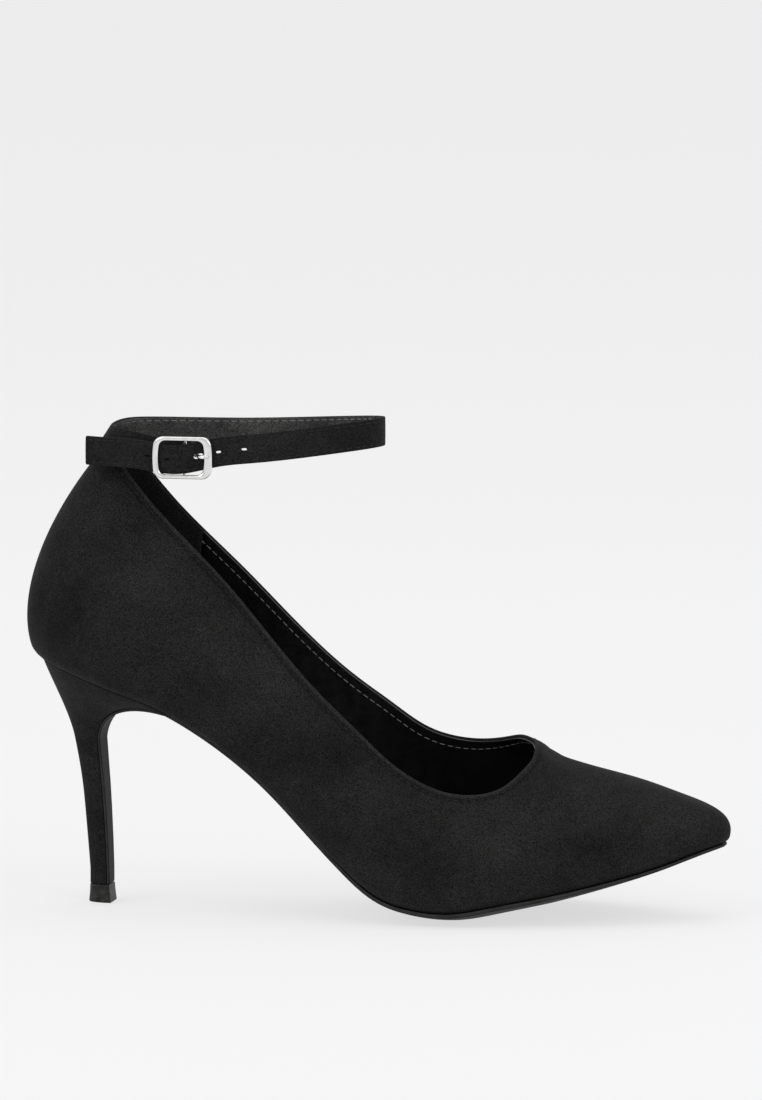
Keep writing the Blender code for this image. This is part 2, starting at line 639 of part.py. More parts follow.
def outer_layer_at(x_share):
    """Place on the strap's outer layer where it has the given x."""
    share = np.linspace(0.55, 1, 1500)
    middle, ahead, thick, tall = strap_frame(share)
    k = int(np.argmin(np.abs(middle[:, 0] + HEEL_SETBACK - x_share * SHOE_LENGTH)))
    return middle[k], ahead[k], thick[k], tall[k]


def pierce(strap, x_share, slot):
    """Cuts one round hole, or the slot for the prong, through the outer layer."""
    middle, ahead, thick, tall = outer_layer_at(x_share)
    angle = np.linspace(0, 2 * np.pi, 13)[:-1]
    stretch = PRONG_HOLE_LENGTH / 2 * np.sign(np.cos(angle)) if slot else 0 * angle
    ring = np.outer(STRAP_HOLE * np.cos(angle) + stretch, ahead) + np.outer(STRAP_HOLE * np.sin(angle), tall)
    reach = STRAP_THICK * 0.5 + 0.0001
    cutter = loft("hole_cutter", [middle + ring - thick * reach, middle + ring + thick * reach], smooth=False)
    cutter.display_type = "WIRE"
    cutter.hide_render = True
    cut = strap.modifiers.new("hole", "BOOLEAN")
    cut.operation = "DIFFERENCE"
    cut.solver = "EXACT"
    cut.object = cutter


def buckle_frame_axes():
    """Middle of the buckle's centre bar with its directions along, out and up."""
    place = STRAP[BUCKLE_ROW, 0] + BUCKLE_SHIFT / SHOE_LENGTH
    reach = (BUCKLE_LENGTH / 2 + GAP) / SHOE_LENGTH
    middle = outer_layer_at(place)[0]
    middle[2] += BUCKLE_RISE
    left, right = outer_layer_at(place - reach)[0], outer_layer_at(place + reach)[0]
    left[2] = right[2] = middle[2]
    along = (right - left) / np.linalg.norm(right - left)
    out = np.cross(along, [0, 0, 1])
    out /= np.linalg.norm(out)
    up = np.cross(out, along)
    ends = (left + right) / 2
    plane = ends + out * (STRAP_THICK / 2 + 2 * GAP + BUCKLE_THICK / 2)
    bar = middle - out * (STRAP_THICK / 2 + GAP + PRONG_RING_WALL + GAP + BAR_RADIUS)
    bar_depth = float(np.dot(bar - plane, out))
    return plane, along, out, up, bar_depth


def rounded_window(x0, x1, y0, y1, bulge_left, bulge_right, radius):
    """Outline of a rounded rectangle whose two ends bow outwards."""
    points = []
    centres = ((x1 - radius, y1 - radius, 0), (x0 + radius, y1 - radius, 1),
               (x0 + radius, y0 + radius, 2), (x1 - radius, y0 + radius, 3))
    for cx, cy, quarter in centres:
        for k in range(6):
            a = np.pi / 2 * (quarter + k / 5)
            points.append((cx + radius * np.cos(a), cy + radius * np.sin(a)))
    points = np.array(points)
    side, step = (y1 + y0) / 2, (y1 - y0) * 0.15
    points = np.concatenate([points, [[x1, side - step], [x1, side + step]]])
    bow = 1 - (2 * (points[:, 1] - (y0 + y1) / 2) / (y1 - y0)) ** 2
    points[:, 0] += np.where(points[:, 0] > (x0 + x1) / 2, bulge_right * bow, -bulge_left * bow)
    return points


def build_buckle_frame():
    """Polished frame with bowed end bars and a centre bar set back behind the strap."""
    plane, along, out, up, bar_depth = buckle_frame_axes()
    half_l, half_h = BUCKLE_LENGTH / 2, BUCKLE_HEIGHT / 2
    outside = rounded_window(-half_l + BUCKLE_BULGE, half_l - BUCKLE_BULGE, -half_h, half_h,
                             BUCKLE_BULGE, BUCKLE_BULGE, BUCKLE_CORNER)
    window_left = -half_l + BUCKLE_BULGE + BUCKLE_SIDE_BAR
    window_right = half_l - BUCKLE_BULGE - BUCKLE_FRONT_BAR
    inside = rounded_window(window_left, window_right, -half_h + BUCKLE_RAIL, half_h - BUCKLE_RAIL,
                            BUCKLE_BULGE, BUCKLE_BULGE, BUCKLE_CORNER * 0.62)
    rings = []
    for grow, depth in ((0.0004, -0.5), (0, -0.3), (0, 0.12), (0.0005, 0.5)):
        ring_out = outside * (1 - grow / half_h)
        ring_in = inside * (1 + grow / half_h)
        rings.append((ring_out, ring_in, depth * BUCKLE_THICK))
    count = len(outside)
    points, faces = [], []
    for ring_out, ring_in, depth in rings:
        for flat in (ring_out, ring_in):
            points += [plane + p[0] * along + p[1] * up + depth * out for p in flat]
    order = np.argsort(np.arctan2(outside[:, 1], outside[:, 0]))
    order_in = np.argsort(np.arctan2(inside[:, 1], inside[:, 0]))
    outer_rows = [level * 2 * count + order for level in range(len(rings))]
    inner_rows = [(level * 2 + 1) * count + order_in for level in range(len(rings))]
    for level in range(len(rings) - 1):
        faces += strip_faces(outer_rows[level], outer_rows[level + 1], closed=True)
        faces += strip_faces(inner_rows[level + 1], inner_rows[level], closed=True)
    faces += strip_faces(inner_rows[0], outer_rows[0], closed=True)
    faces += strip_faces(outer_rows[-1], inner_rows[-1], closed=True)
    frame = mesh_object("buckle_frame", np.array(points), faces)
    tidy(frame)
    rail = half_h - BUCKLE_RAIL / 2
    bend = 0.0012
    shoulder = bar_depth + bend * 0.3
    upper_half = [(0, rail), (bar_depth * 0.45, rail), (shoulder, rail - bend * 0.25),
                  (bar_depth, rail - bend)]
    path = upper_half + [(bar_depth, 0)] + [(d, -h) for d, h in upper_half[::-1]]
    path = np.array([plane + d * out + h * up for d, h in path])
    bar = rod("centre_bar_cutter", path, np.full(len(path), BAR_RADIUS), along)
    bar.hide_render = True
    bar.display_type = "WIRE"
    join = frame.modifiers.new("centre bar", "BOOLEAN")
    join.operation = "UNION"
    join.solver = "EXACT"
    join.object = bar
    material(frame, "polished_silver", SILVER, 0.12, 1.0)
    return frame


def rod(name, path, radii, side, sides=10):
    """Round rod along a path that stays square to one fixed direction."""
    along = np.gradient(path, axis=0)
    along /= np.linalg.norm(along, axis=1)[:, None]
    angle = np.linspace(0, 2 * np.pi, sides + 1)[:-1]
    rings = []
    for p, t, r in zip(path, along, radii):
        other = np.cross(t, side)
        other /= np.linalg.norm(other)
        rings.append(p + r * (np.outer(np.cos(angle), side) + np.outer(np.sin(angle), other)))
    return loft(name, rings)


def build_prong():
    """Pin that turns on the centre bar, comes out through the strap and rests on the front bar."""
    plane, along, out, up, bar_depth = buckle_frame_axes()
    hole = outer_layer_at(prong_hole_x())[0]
    bar = plane + bar_depth * out
    bar = bar + float(np.dot(hole - bar, up)) * up
    angle = np.linspace(0, 2 * np.pi, 21)[:-1]
    inner, outer = BAR_RADIUS + GAP, BAR_RADIUS + GAP + PRONG_RING_WALL
    points, faces = [], []
    for radius, height in ((inner, -1), (outer, -1), (outer, 1), (inner, 1)):
        level = up * height * PRONG_RADIUS * 1.2
        points += [bar + level + radius * (np.cos(a) * along + np.sin(a) * out) for a in angle]
    for k in range(4):
        low = [k * 20 + i for i in range(20)]
        high = [((k + 1) % 4) * 20 + i for i in range(20)]
        faces += strip_faces(low, high, closed=True)
    ring = mesh_object("buckle_prong", np.array(points), faces)
    tidy(ring)
    hole_along = float(np.dot(hole - bar, along))
    hole_out = float(np.dot(hole - bar, out))
    tip_along = BUCKLE_LENGTH / 2 - BUCKLE_FRONT_BAR * 0.35
    rest_out = -bar_depth + BUCKLE_THICK / 2 + GAP + PRONG_RADIUS * 0.8
    start = outer - PRONG_RING_WALL * 0.5
    behind = hole_out - STRAP_THICK * 0.5 - 2 * GAP - PRONG_RADIUS
    path = [(start * 0.8, start * 0.35), (hole_along - 0.0024, behind),
            (hole_along - 0.0003, hole_out - 0.0004), (hole_along + 0.0016, rest_out - 0.0010),
            (hole_along + 0.0030, rest_out), (tip_along, rest_out)]
    path = np.array([bar + a * along + b * out for a, b in path])
    radii = PRONG_RADIUS * np.array([0.75, 0.8, 0.9, 0.95, 0.95, 0.8])
    arm = rod("prong_arm_cutter", path, radii, up)
    arm.hide_render = True
    arm.display_type = "WIRE"
    join = ring.modifiers.new("arm", "BOOLEAN")
    join.operation = "UNION"
    join.solver = "EXACT"
    join.object = arm
    material(ring, "polished_silver_prong", SILVER, 0.12, 1.0)
    return ring


for old in list(bpy.data.objects):
    bpy.data.objects.remove(old, do_unlink=True)

build_upper()
build_outsole()
build_insole()
build_heel()
build_top_lift()
build_strap()
build_buckle_frame()
build_prong()
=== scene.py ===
# %% [markdown]
# # Ankle strap pump in black suede
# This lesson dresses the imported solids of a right-hand stiletto pump. The solids stay where
# they are and hold the true sizes. Each visible piece is built again here as a finer surface
# in the same frame: +X is the toe, +Z is up, -Y is the outer side, and the origin lies on the
# floor in the middle of the heel's top lift.

# %% Load the fixed frame
import json
import math

import bmesh
import bpy
import numpy as np
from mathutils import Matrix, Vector

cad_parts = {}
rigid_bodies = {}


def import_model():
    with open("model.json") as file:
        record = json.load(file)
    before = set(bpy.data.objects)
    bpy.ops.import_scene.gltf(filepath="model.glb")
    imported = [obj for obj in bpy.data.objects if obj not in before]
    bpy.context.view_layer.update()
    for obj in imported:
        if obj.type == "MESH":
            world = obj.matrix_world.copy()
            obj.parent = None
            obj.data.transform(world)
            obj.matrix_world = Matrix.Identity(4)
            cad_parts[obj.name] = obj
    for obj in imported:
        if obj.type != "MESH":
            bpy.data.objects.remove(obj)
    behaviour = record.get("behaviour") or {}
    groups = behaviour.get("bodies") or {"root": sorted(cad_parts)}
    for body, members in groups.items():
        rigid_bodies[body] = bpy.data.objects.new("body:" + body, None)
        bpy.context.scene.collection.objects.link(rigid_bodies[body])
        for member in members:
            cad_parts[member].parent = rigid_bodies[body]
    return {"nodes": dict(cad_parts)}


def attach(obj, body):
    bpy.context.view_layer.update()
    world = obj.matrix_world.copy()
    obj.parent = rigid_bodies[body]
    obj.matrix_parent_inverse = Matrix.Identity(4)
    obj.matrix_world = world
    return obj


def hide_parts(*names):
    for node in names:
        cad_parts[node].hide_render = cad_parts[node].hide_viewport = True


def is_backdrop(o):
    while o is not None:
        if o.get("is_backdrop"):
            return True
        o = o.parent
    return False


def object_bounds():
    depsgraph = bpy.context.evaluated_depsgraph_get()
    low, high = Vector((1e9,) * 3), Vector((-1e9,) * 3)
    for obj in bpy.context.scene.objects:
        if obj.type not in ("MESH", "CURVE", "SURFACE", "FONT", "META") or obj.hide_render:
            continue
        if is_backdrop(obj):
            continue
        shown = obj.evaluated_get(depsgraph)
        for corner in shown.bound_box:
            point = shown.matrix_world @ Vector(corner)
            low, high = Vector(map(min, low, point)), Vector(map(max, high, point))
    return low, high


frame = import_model()
CAD_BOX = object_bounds()
MM = 0.001
print("nodes:", ", ".join(sorted(frame["nodes"])))

# %% [markdown]
# ## Camera, floor and light
# The photograph is taken from a little in front of the shoe's outer side and slightly above,
# from far away, so that the sides hardly taper. A pale floor sweeps up into a pale wall, as
# paper does in a studio. A black shoe is lit by what it mirrors and by the sheen of its nap,
# so the lamps are large and soft.

# %% Camera
VIEW_TURN = math.radians(11.0)
VIEW_RISE = math.radians(6.5)
VIEW_DISTANCE = 3.2
VIEW_TARGET = Vector((0.0981242, 0.0, 0.12519845))
PHOTO_HEIGHT = 1100
PIXELS_PER_METRE = 2900.0


def make_camera():
    """Looks at the target from the given turn, rise and distance; the long side sets the lens."""
    back = Vector((math.sin(VIEW_TURN) * math.cos(VIEW_RISE),
                   -math.cos(VIEW_TURN) * math.cos(VIEW_RISE), math.sin(VIEW_RISE)))
    data = bpy.data.cameras.new("camera")
    data.sensor_width = 36.0
    data.lens = PIXELS_PER_METRE * VIEW_DISTANCE / PHOTO_HEIGHT * data.sensor_width
    data.clip_end = 60.0
    camera = bpy.data.objects.new("camera", data)
    bpy.context.scene.collection.objects.link(camera)
    camera.location = VIEW_TARGET + back * VIEW_DISTANCE
    camera.rotation_mode = "QUATERNION"
    camera.rotation_quaternion = back.to_track_quat("Z", "Y")
    bpy.context.scene.camera = camera
    print("lens %.0f mm" % data.lens)


make_camera()

# %% Helpers for meshes
def new_piece(name, points, *groups):
    """Mesh object at the origin from an array of points and one or more arrays of faces."""
    points = np.asarray(points, np.float32).reshape(-1, 3)
    mesh = bpy.data.meshes.new(name)
    mesh.from_pydata(points.tolist(), [], [face for group in groups for face in group.tolist()])
    mesh.validate()
    mesh.polygons.foreach_set("use_smooth", np.ones(len(mesh.polygons), bool))
    obj = bpy.data.objects.new(name, mesh)
    bpy.context.scene.collection.objects.link(obj)
    return obj


def grid_faces(number, close_rows=False, close_columns=False):
    """Quads between neighbouring entries of a table of point numbers, row by row."""
    if close_rows:
        number = np.concatenate([number, number[:1]])
    if close_columns:
        number = np.concatenate([number, number[:, :1]], axis=1)
    quads = np.stack([number[:-1, :-1], number[1:, :-1], number[1:, 1:], number[:-1, 1:]], -1)
    return quads.reshape(-1, 4)


def unit(vectors):
    """The same directions with length 1."""
    return vectors / np.linalg.norm(vectors, axis=-1, keepdims=True)


def round_angles(count):
    """Even angles once round a circle."""
    return np.linspace(0, 2 * np.pi, count + 1)[:-1]


def way_along(points):
    """Length of the way along a line of points up to each of them."""
    return np.concatenate([[0], np.cumsum(np.linalg.norm(np.diff(points, axis=0), axis=1))])


def set_values(node_or_shader, values):
    """Plain numbers on a node's own sockets."""
    for socket, value in values:
        node_or_shader.inputs[socket].default_value = value


def outwards(obj, merge=2e-6):
    """Merges doubles, drops empty faces and turns a closed shell's faces outwards."""
    work = bmesh.new()
    work.from_mesh(obj.data)
    bmesh.ops.remove_doubles(work, verts=work.verts, dist=merge)
    bmesh.ops.dissolve_degenerate(work, edges=work.edges, dist=1e-7)
    bmesh.ops.recalc_face_normals(work, faces=work.faces)
    if work.calc_volume(signed=True) < 0:
        bmesh.ops.reverse_faces(work, faces=work.faces)
    loose = [v for v in work.verts if not v.link_faces]
    bmesh.ops.delete(work, geom=loose, context="VERTS")
    work.to_mesh(obj.data)
    triangles = sum(len(f.verts) - 2 for f in work.faces)
    open_edges = sum(1 for e in work.edges if not e.is_manifold)
    work.free()
    print("%s: %d triangles, %d open edges" % (obj.name, triangles, open_edges))
    return obj


def ring_surface(name, rings):
    """Closed surface over round sections that follow each other in a ring."""
    number = np.arange(rings.size // 3).reshape(rings.shape[:2])
    return outwards(new_piece(name, rings, grid_faces(number, True, True)))


def finish_piece(obj, paint, nodes=(), slot_name=None):
    """Gives a piece its material, ties it to the body and hides the solids it stands for."""
    obj.data.materials.clear()
    obj.data.materials.append(paint)
    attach(obj, "root")
    if nodes:
        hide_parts(*nodes)
    return obj


# %% Floor and wall
FLOOR_HALF = 4.5          # half the sheet's width, and its reach towards the viewer
WALL_AT = 3.3             # far enough for a camera to walk round the shoe in front of it
WALL_BEND = 0.9
WALL_TOP = 4.0
PAPER = (("Base Color", (0.22, 0.22, 0.22, 1)), ("Emission Color", (1, 1, 1, 1)),
         ("Emission Strength", 0.655), ("Roughness", 0.9), ("Specular IOR Level", 0.1))


def make_studio():
    """A sheet that lies flat, bends up on a quarter circle behind the shoe and ends as a wall."""
    bend = np.linspace(0, np.pi / 2, 25)
    profile = np.concatenate([
        [(-FLOOR_HALF, 0.0)],
        np.stack([WALL_AT + WALL_BEND * np.sin(bend), WALL_BEND * (1 - np.cos(bend))], -1),
        [(WALL_AT + WALL_BEND, WALL_TOP)]])
    points = np.array([[(x, y, z) for x in (-FLOOR_HALF, FLOOR_HALF)] for y, z in profile])
    number = np.arange(points.size // 3).reshape(points.shape[:2])
    studio = new_piece("studio_sheet", points, grid_faces(number)[:, ::-1])
    paper = bpy.data.materials.new("studio_paper")
    paper.use_nodes = True
    set_values(paper.node_tree.nodes["Principled BSDF"], PAPER)
    studio.data.materials.append(paper)
    studio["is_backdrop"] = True


make_studio()
print("sheet %.0f m wide" % (2 * FLOOR_HALF))

# %% Lamps
LAMPS = (
    # name, place, size in metres, watts
    ("lamp_left", (-1.3, -1.5, 1.5), 1.3, 13.0),
    ("lamp_right", (1.5, -1.2, 1.2), 1.1, 9.0),
    ("lamp_above", (0.2, 0.3, 1.9), 1.6, 8.0),
)
LAMP_AIM = Vector((0.09, 0.0, 0.07))
SKY = (("Color", (1, 1, 1, 1)), ("Strength", 0.75))


def make_lamps():
    """Square soft boxes that face the middle of the shoe, and an even pale sky."""
    for name, place, size, power in LAMPS:
        data = bpy.data.lights.new(name, "AREA")
        data.size = size
        data.energy = power
        lamp = bpy.data.objects.new(name, data)
        bpy.context.scene.collection.objects.link(lamp)
        lamp.location = place
        aim = Vector(place) - LAMP_AIM
        lamp.rotation_euler = aim.to_track_quat("Z", "Y").to_euler()
    world = bpy.data.worlds.new("even_sky")
    world.use_nodes = True
    set_values(world.node_tree.nodes["Background"], SKY)
    bpy.context.scene.world = world
    bpy.context.scene.view_settings.view_transform = "Standard"


make_lamps()
print(len(LAMPS), "lamps and an even sky")
# %% [markdown]
# ## The shape of the last
# A shoe is pulled over a last, and its surface is easiest to describe in sections that stand
# round the foot. `at` names a section: 0 at the back of the heel, 1 at the toe tip, negative
# on the outer side. Each section is one smooth curve from the feather line, where upper and
# sole meet, to the top edge. The tables below are the maker's measures in shares of four
# sizes, the same ones that the solids are cut from.

# %% Sizes of the shoe
SHOE_LENGTH = 0.245          # back of the counter to the toe tip, along the floor
HEEL_SETBACK = 0.025         # from the top lift's middle back to the counter's back
BALL_HALF = 0.038            # half the width across the ball
HEEL_HEIGHT = 0.086          # floor to the heel seat at the back

# Thicknesses
UPPER_WALL = 0.0018
INSOLE_THICK = 0.0012
SOLE_MIDDLE = 0.0026
SOLE_EDGE = 0.0013
SOLE_TOE = 0.0009
TOE_TAPER = 0.060            # length over which the sole thins out to the toe
FLAP_THICK = 0.0009
LIFT_HEIGHT = 0.0064
GAP = 0.0003                 # room left between neighbouring pieces

# Ankle strap and buckle
STRAP_WIDTH = 0.0100
STRAP_THICK = 0.0017
PRONG_HOLE_LENGTH = 0.0020   # how far the slot for the prong is drawn out
BUCKLE_LENGTH = 0.0211
BUCKLE_HEIGHT = 0.0145
BUCKLE_SIDE_BAR = 0.0021
BUCKLE_FRONT_BAR = 0.0029
BUCKLE_RAIL = 0.0014
BUCKLE_THICK = 0.0016
BUCKLE_BULGE = 0.0007        # how far the two end bars bow outwards
BUCKLE_CORNER = 0.0030
BAR_RADIUS = 0.0007
PRONG_RADIUS = 0.0007
PRONG_RING_WALL = 0.0005
PRONG_SETBACK = 0.0024       # from the front bar's window edge back to the middle of its slot
BUCKLE_RISE = 0.0005         # how far the buckle's middle stands above the strap's
BUCKLE_SHIFT = 0.0008        # how far its middle lies ahead of its row in the strap's table

# Where the sections stand: 0 at the back of the heel, 1 at the toe tip
APEX = 0.78                  # section whose top is the middle of the throat
SEAT_FRONT = 0.215           # section where the heel's front lip runs out under the arch
INSOLE_FRONT = 0.945

# %% Tables of the last
# Feather line, where the upper meets the sole.
# at, x of SHOE_LENGTH, outer y and inner y of BALL_HALF, outer z and inner z of HEEL_HEIGHT
FEATHER = np.array([
    (0.000, 0.013, 0.000, 0.000, 1.005, 1.005),
    (0.025, 0.023, 0.184, 0.184, 0.993, 0.993),
    (0.066, 0.053, 0.426, 0.426, 0.969, 0.970),
    (0.107, 0.094, 0.579, 0.579, 0.934, 0.937),
    (0.152, 0.143, 0.658, 0.647, 0.888, 0.895),
    (0.195, 0.192, 0.668, 0.637, 0.839, 0.853),
    (0.248, 0.249, 0.658, 0.574, 0.755, 0.776),
    (0.306, 0.306, 0.663, 0.516, 0.648, 0.674),
    (0.368, 0.363, 0.700, 0.505, 0.518, 0.546),
    (0.434, 0.420, 0.774, 0.568, 0.364, 0.390),
    (0.500, 0.478, 0.868, 0.689, 0.211, 0.230),
    (0.562, 0.535, 0.947, 0.821, 0.099, 0.107),
    (0.609, 0.588, 0.984, 0.916, 0.063, 0.067),
    (0.651, 0.637, 0.979, 0.963, 0.060, 0.060),
    (0.690, 0.682, 0.942, 0.968, 0.083, 0.077),
    (0.762, 0.763, 0.805, 0.868, 0.127, 0.122),
    (0.837, 0.845, 0.611, 0.674, 0.180, 0.177),
    (0.905, 0.914, 0.392, 0.453, 0.235, 0.233),
    (0.945, 0.951, 0.245, 0.313, 0.272, 0.270),
    (0.975, 0.974, 0.120, 0.192, 0.294, 0.293),
    (1.000, 0.988, -0.042, 0.042, 0.306, 0.306),
])

# Top edge of the opening on the outer side, back to throat.
# at, x of SHOE_LENGTH, y of BALL_HALF, z of HEEL_HEIGHT
TOPLINE_OUTER = np.array([
    (0.000, 0.137, 0.000, 1.925),
    (0.030, 0.137, -0.140, 1.893),
    (0.066, 0.138, -0.250, 1.816),
    (0.107, 0.158, -0.316, 1.733),
    (0.152, 0.192, -0.379, 1.627),
    (0.248, 0.286, -0.453, 1.363),
    (0.368, 0.388, -0.558, 1.040),
    (0.434, 0.443, -0.642, 0.884),
    (0.500, 0.498, -0.726, 0.747),
    (0.562, 0.553, -0.771, 0.614),
    (0.609, 0.608, -0.763, 0.533),
    (0.651, 0.655, -0.716, 0.513),
    (0.690, 0.691, -0.595, 0.535),
    (0.720, 0.711, -0.463, 0.580),
    (0.745, 0.7225, -0.325, 0.617),
    (0.765, 0.7260, -0.200, 0.650),
    (0.780, 0.7235, -0.080, 0.672),
])

# Top edge of the opening on the inner side, back to throat, same columns
TOPLINE_INNER = np.array([
    (0.030, 0.137, 0.140, 1.896),
    (0.066, 0.138, 0.248, 1.826),
    (0.107, 0.158, 0.305, 1.745),
    (0.152, 0.192, 0.353, 1.628),
    (0.248, 0.282, 0.453, 1.367),
    (0.368, 0.384, 0.553, 1.067),
    (0.434, 0.441, 0.626, 0.918),
    (0.500, 0.494, 0.689, 0.803),
    (0.562, 0.543, 0.718, 0.705),
    (0.609, 0.584, 0.705, 0.664),
    (0.651, 0.627, 0.628, 0.655),
    (0.690, 0.667, 0.480, 0.672),
    (0.720, 0.692, 0.315, 0.689),
    (0.745, 0.709, 0.140, 0.689),
    (0.765, 0.719, 0.015, 0.682),
    (0.780, 0.7235, -0.080, 0.672),
])

# Ridge of the vamp from the throat to the toe, same columns
RIDGE = np.array([
    (0.780, 0.7235, -0.080, 0.672),
    (0.810, 0.742, -0.030, 0.639),
    (0.840, 0.768, 0.030, 0.608),
    (0.872, 0.800, 0.080, 0.581),
    (0.905, 0.838, 0.098, 0.554),
    (0.934, 0.871, 0.095, 0.529),
    (0.960, 0.900, 0.082, 0.503),
    (0.980, 0.918, 0.068, 0.486),
    (1.000, 0.931, 0.061, 0.474),
])

# How the wall of the upper rises between the feather line and its top edge.
# foot: degrees above level, outwards. lean: degrees inwards from upright at the top.
# The two pulls are shares of the straight way from bottom to top. tip: degrees that
# the wall's foot leans towards the toe. fall: degrees that the ridge falls to the toe.
# skew: degrees by which the inner side's lean is larger and the outer side's smaller.
# at, foot, foot_pull, lean, head_pull, tip, fall, skew
WALL = np.array([
    (0.000, 57.0, 0.16, 43.0, 0.58, 0.0, 0.0, 0.0),
    (0.050, 59.0, 0.18, 30.0, 0.49, 4.0, 0.0, 0.0),
    (0.107, 61.0, 0.23, 16.0, 0.40, 9.0, 0.0, 0.0),
    (0.152, 62.0, 0.28, 12.0, 0.37, 11.0, 0.0, 0.0),
    (0.250, 60.0, 0.28, 10.0, 0.32, 11.0, 0.0, 0.0),
    (0.370, 52.0, 0.27, 10.0, 0.30, 8.0, 0.0, 0.0),
    (0.500, 56.0, 0.28, 14.0, 0.30, 5.0, 0.0, 0.0),
    (0.610, 68.0, 0.30, 26.0, 0.30, 3.0, 8.0, 2.0),
    (0.690, 74.0, 0.32, 47.0, 0.30, 0.0, 18.0, 7.0),
    (0.740, 76.0, 0.32, 67.0, 0.31, 0.0, 27.0, 12.0),
    (0.780, 78.0, 0.32, 88.0, 0.32, 0.0, 30.0, 8.0),
    (0.810, 79.0, 0.32, 90.0, 0.33, 0.0, 27.0, 5.0),
    (0.840, 80.0, 0.33, 90.0, 0.34, 0.0, 21.0, 3.0),
    (0.872, 80.0, 0.33, 90.0, 0.35, 0.0, 16.0, 0.0),
    (0.905, 80.0, 0.34, 90.0, 0.37, 0.0, 15.0, 0.0),
    (0.960, 76.0, 0.36, 90.0, 0.45, 0.0, 18.0, 0.0),
    (1.000, 62.0, 0.46, 90.0, 0.58, 0.0, 20.0, 0.0),
])

# Underside of the foot: at, sag below the feather line and inset of the sole's edge,
# both of BALL_HALF
FLOOR = np.array([
    (0.000, 0.000, 0.053),
    (0.215, 0.000, 0.053),
    (0.300, 0.010, 0.053),
    (0.434, 0.034, 0.045),
    (0.530, 0.062, 0.010),
    (0.609, 0.079, -0.006),
    (0.690, 0.071, -0.006),
    (0.837, 0.030, -0.002),
    (0.945, 0.004, 0.008),
    (1.000, 0.000, 0.016),
])

# %% Tables of heel and strap
# Stem of the heel: z, x of its back, x of its front and half width, all of HEEL_HEIGHT
STEM = np.array([
    (0.663, -0.1175, -0.0150, 0.0710),
    (0.581, -0.1020, -0.0082, 0.0660),
    (0.483, -0.0870, 0.0000, 0.0616),
    (0.378, -0.0765, 0.0070, 0.0570),
    (0.256, -0.0663, 0.0130, 0.0535),
    (0.140, -0.0570, 0.0170, 0.0512),
])

# Handles of the heel's curves between seat and stem, as shares of the way between them:
# first at the front lip, then at the back
LIP_LEAVES = np.array([0.44, 0.08, -0.26])
NECK_MEETS = np.array([0.02, 0.10, 0.98])
BACK_LEAVES = np.array([0.30, 0.22, 0.31])
BACK_MEETS = np.array([0.18, 0.05, 0.33])

# Middle of the strap from its end at the buckle, round the heel and the ankle, to its tip.
# x of SHOE_LENGTH, y of BALL_HALF, z of HEEL_HEIGHT, lean in degrees
STRAP = np.array([
    (0.249, -0.572, 1.848, 0.0),
    (0.229, -0.574, 1.850, 0.0),
    (0.190, -0.570, 1.867, 4.0),
    (0.153, -0.478, 1.884, 12.0),
    (0.124, -0.318, 1.892, 22.0),
    (0.1095, 0.000, 1.899, 34.0),
    (0.126, 0.330, 1.901, 22.0),
    (0.160, 0.480, 1.897, 10.0),
    (0.224, 0.594, 1.892, 2.0),
    (0.306, 0.612, 1.894, 0.0),
    (0.388, 0.552, 1.905, 0.0),
    (0.453, 0.392, 1.919, 0.0),
    (0.491, 0.190, 1.930, 0.0),
    (0.5055, -0.020, 1.936, 0.0),
    (0.494, -0.250, 1.934, 0.0),
    (0.460, -0.438, 1.924, 0.0),
    (0.404, -0.586, 1.905, 0.0),
    (0.339, -0.668, 1.885, 0.0),
    (0.290, -0.694, 1.869, 0.0),
    (0.260, -0.704, 1.850, 0.0),
    (0.239, -0.716, 1.839, 0.0),
    (0.218, -0.706, 1.838, 0.0),
    (0.196, -0.682, 1.846, 0.0),
    (0.160, -0.622, 1.856, 0.0),
    (0.125, -0.533, 1.856, 0.0),
    (0.0955, -0.450, 1.856, 0.0),
])
STRAP_HOLES_X = (0.191, 0.220, 0.292, 0.328)    # of SHOE_LENGTH
BUCKLE_ROW = 20                                 # row of the table that lies on the buckle's bar
print("rows: feather line %d, wall %d, strap %d" % (len(FEATHER), len(WALL), len(STRAP)))

# %% Reading the tables
def spline(knots, rows, at, flat_ends=False):
    """Smooth curve through the rows of a table, read at the places given.

    Each span is a cubic and neighbouring spans share slope and bend.
    With flat_ends the curve comes to rest at both ends.
    """
    knots, rows, at = np.asarray(knots), np.asarray(rows, float), np.asarray(at, float)
    n = len(knots)
    step = np.diff(knots)
    rise = np.diff(rows, axis=0) / step[:, None]
    system, pull = np.eye(n), np.zeros_like(rows)
    for i in range(1, n - 1):
        system[i, i - 1:i + 2] = step[i - 1], 2 * (step[i - 1] + step[i]), step[i]
        pull[i] = 6 * (rise[i] - rise[i - 1])
    if flat_ends:
        system[0, :2] = 2 * step[0], step[0]
        system[-1, -2:] = step[-1], 2 * step[-1]
        pull[0], pull[-1] = 6 * rise[0], -6 * rise[-1]
    bend = np.linalg.solve(system, pull)
    i = np.clip(np.searchsorted(knots, at, side="right") - 1, 0, n - 2)
    h = step[i][:, None]
    b = (at - knots[i])[:, None] / h
    a = 1 - b
    curved = ((a ** 3 - a) * bend[i] + (b ** 3 - b) * bend[i + 1]) * h ** 2 / 6
    return a * rows[i] + b * rows[i + 1] + curved


def mirrored(table, at):
    """Reads a table that holds for both sides of the shoe, smooth at the heel and at the toe."""
    knots = np.concatenate([-table[:0:-1, 0], table[:, 0], 2 - table[-2::-1, 0]])
    rows = np.concatenate([table[:0:-1, 1:], table[:, 1:], table[-2::-1, 1:]])
    return spline(knots, rows, np.abs(at))


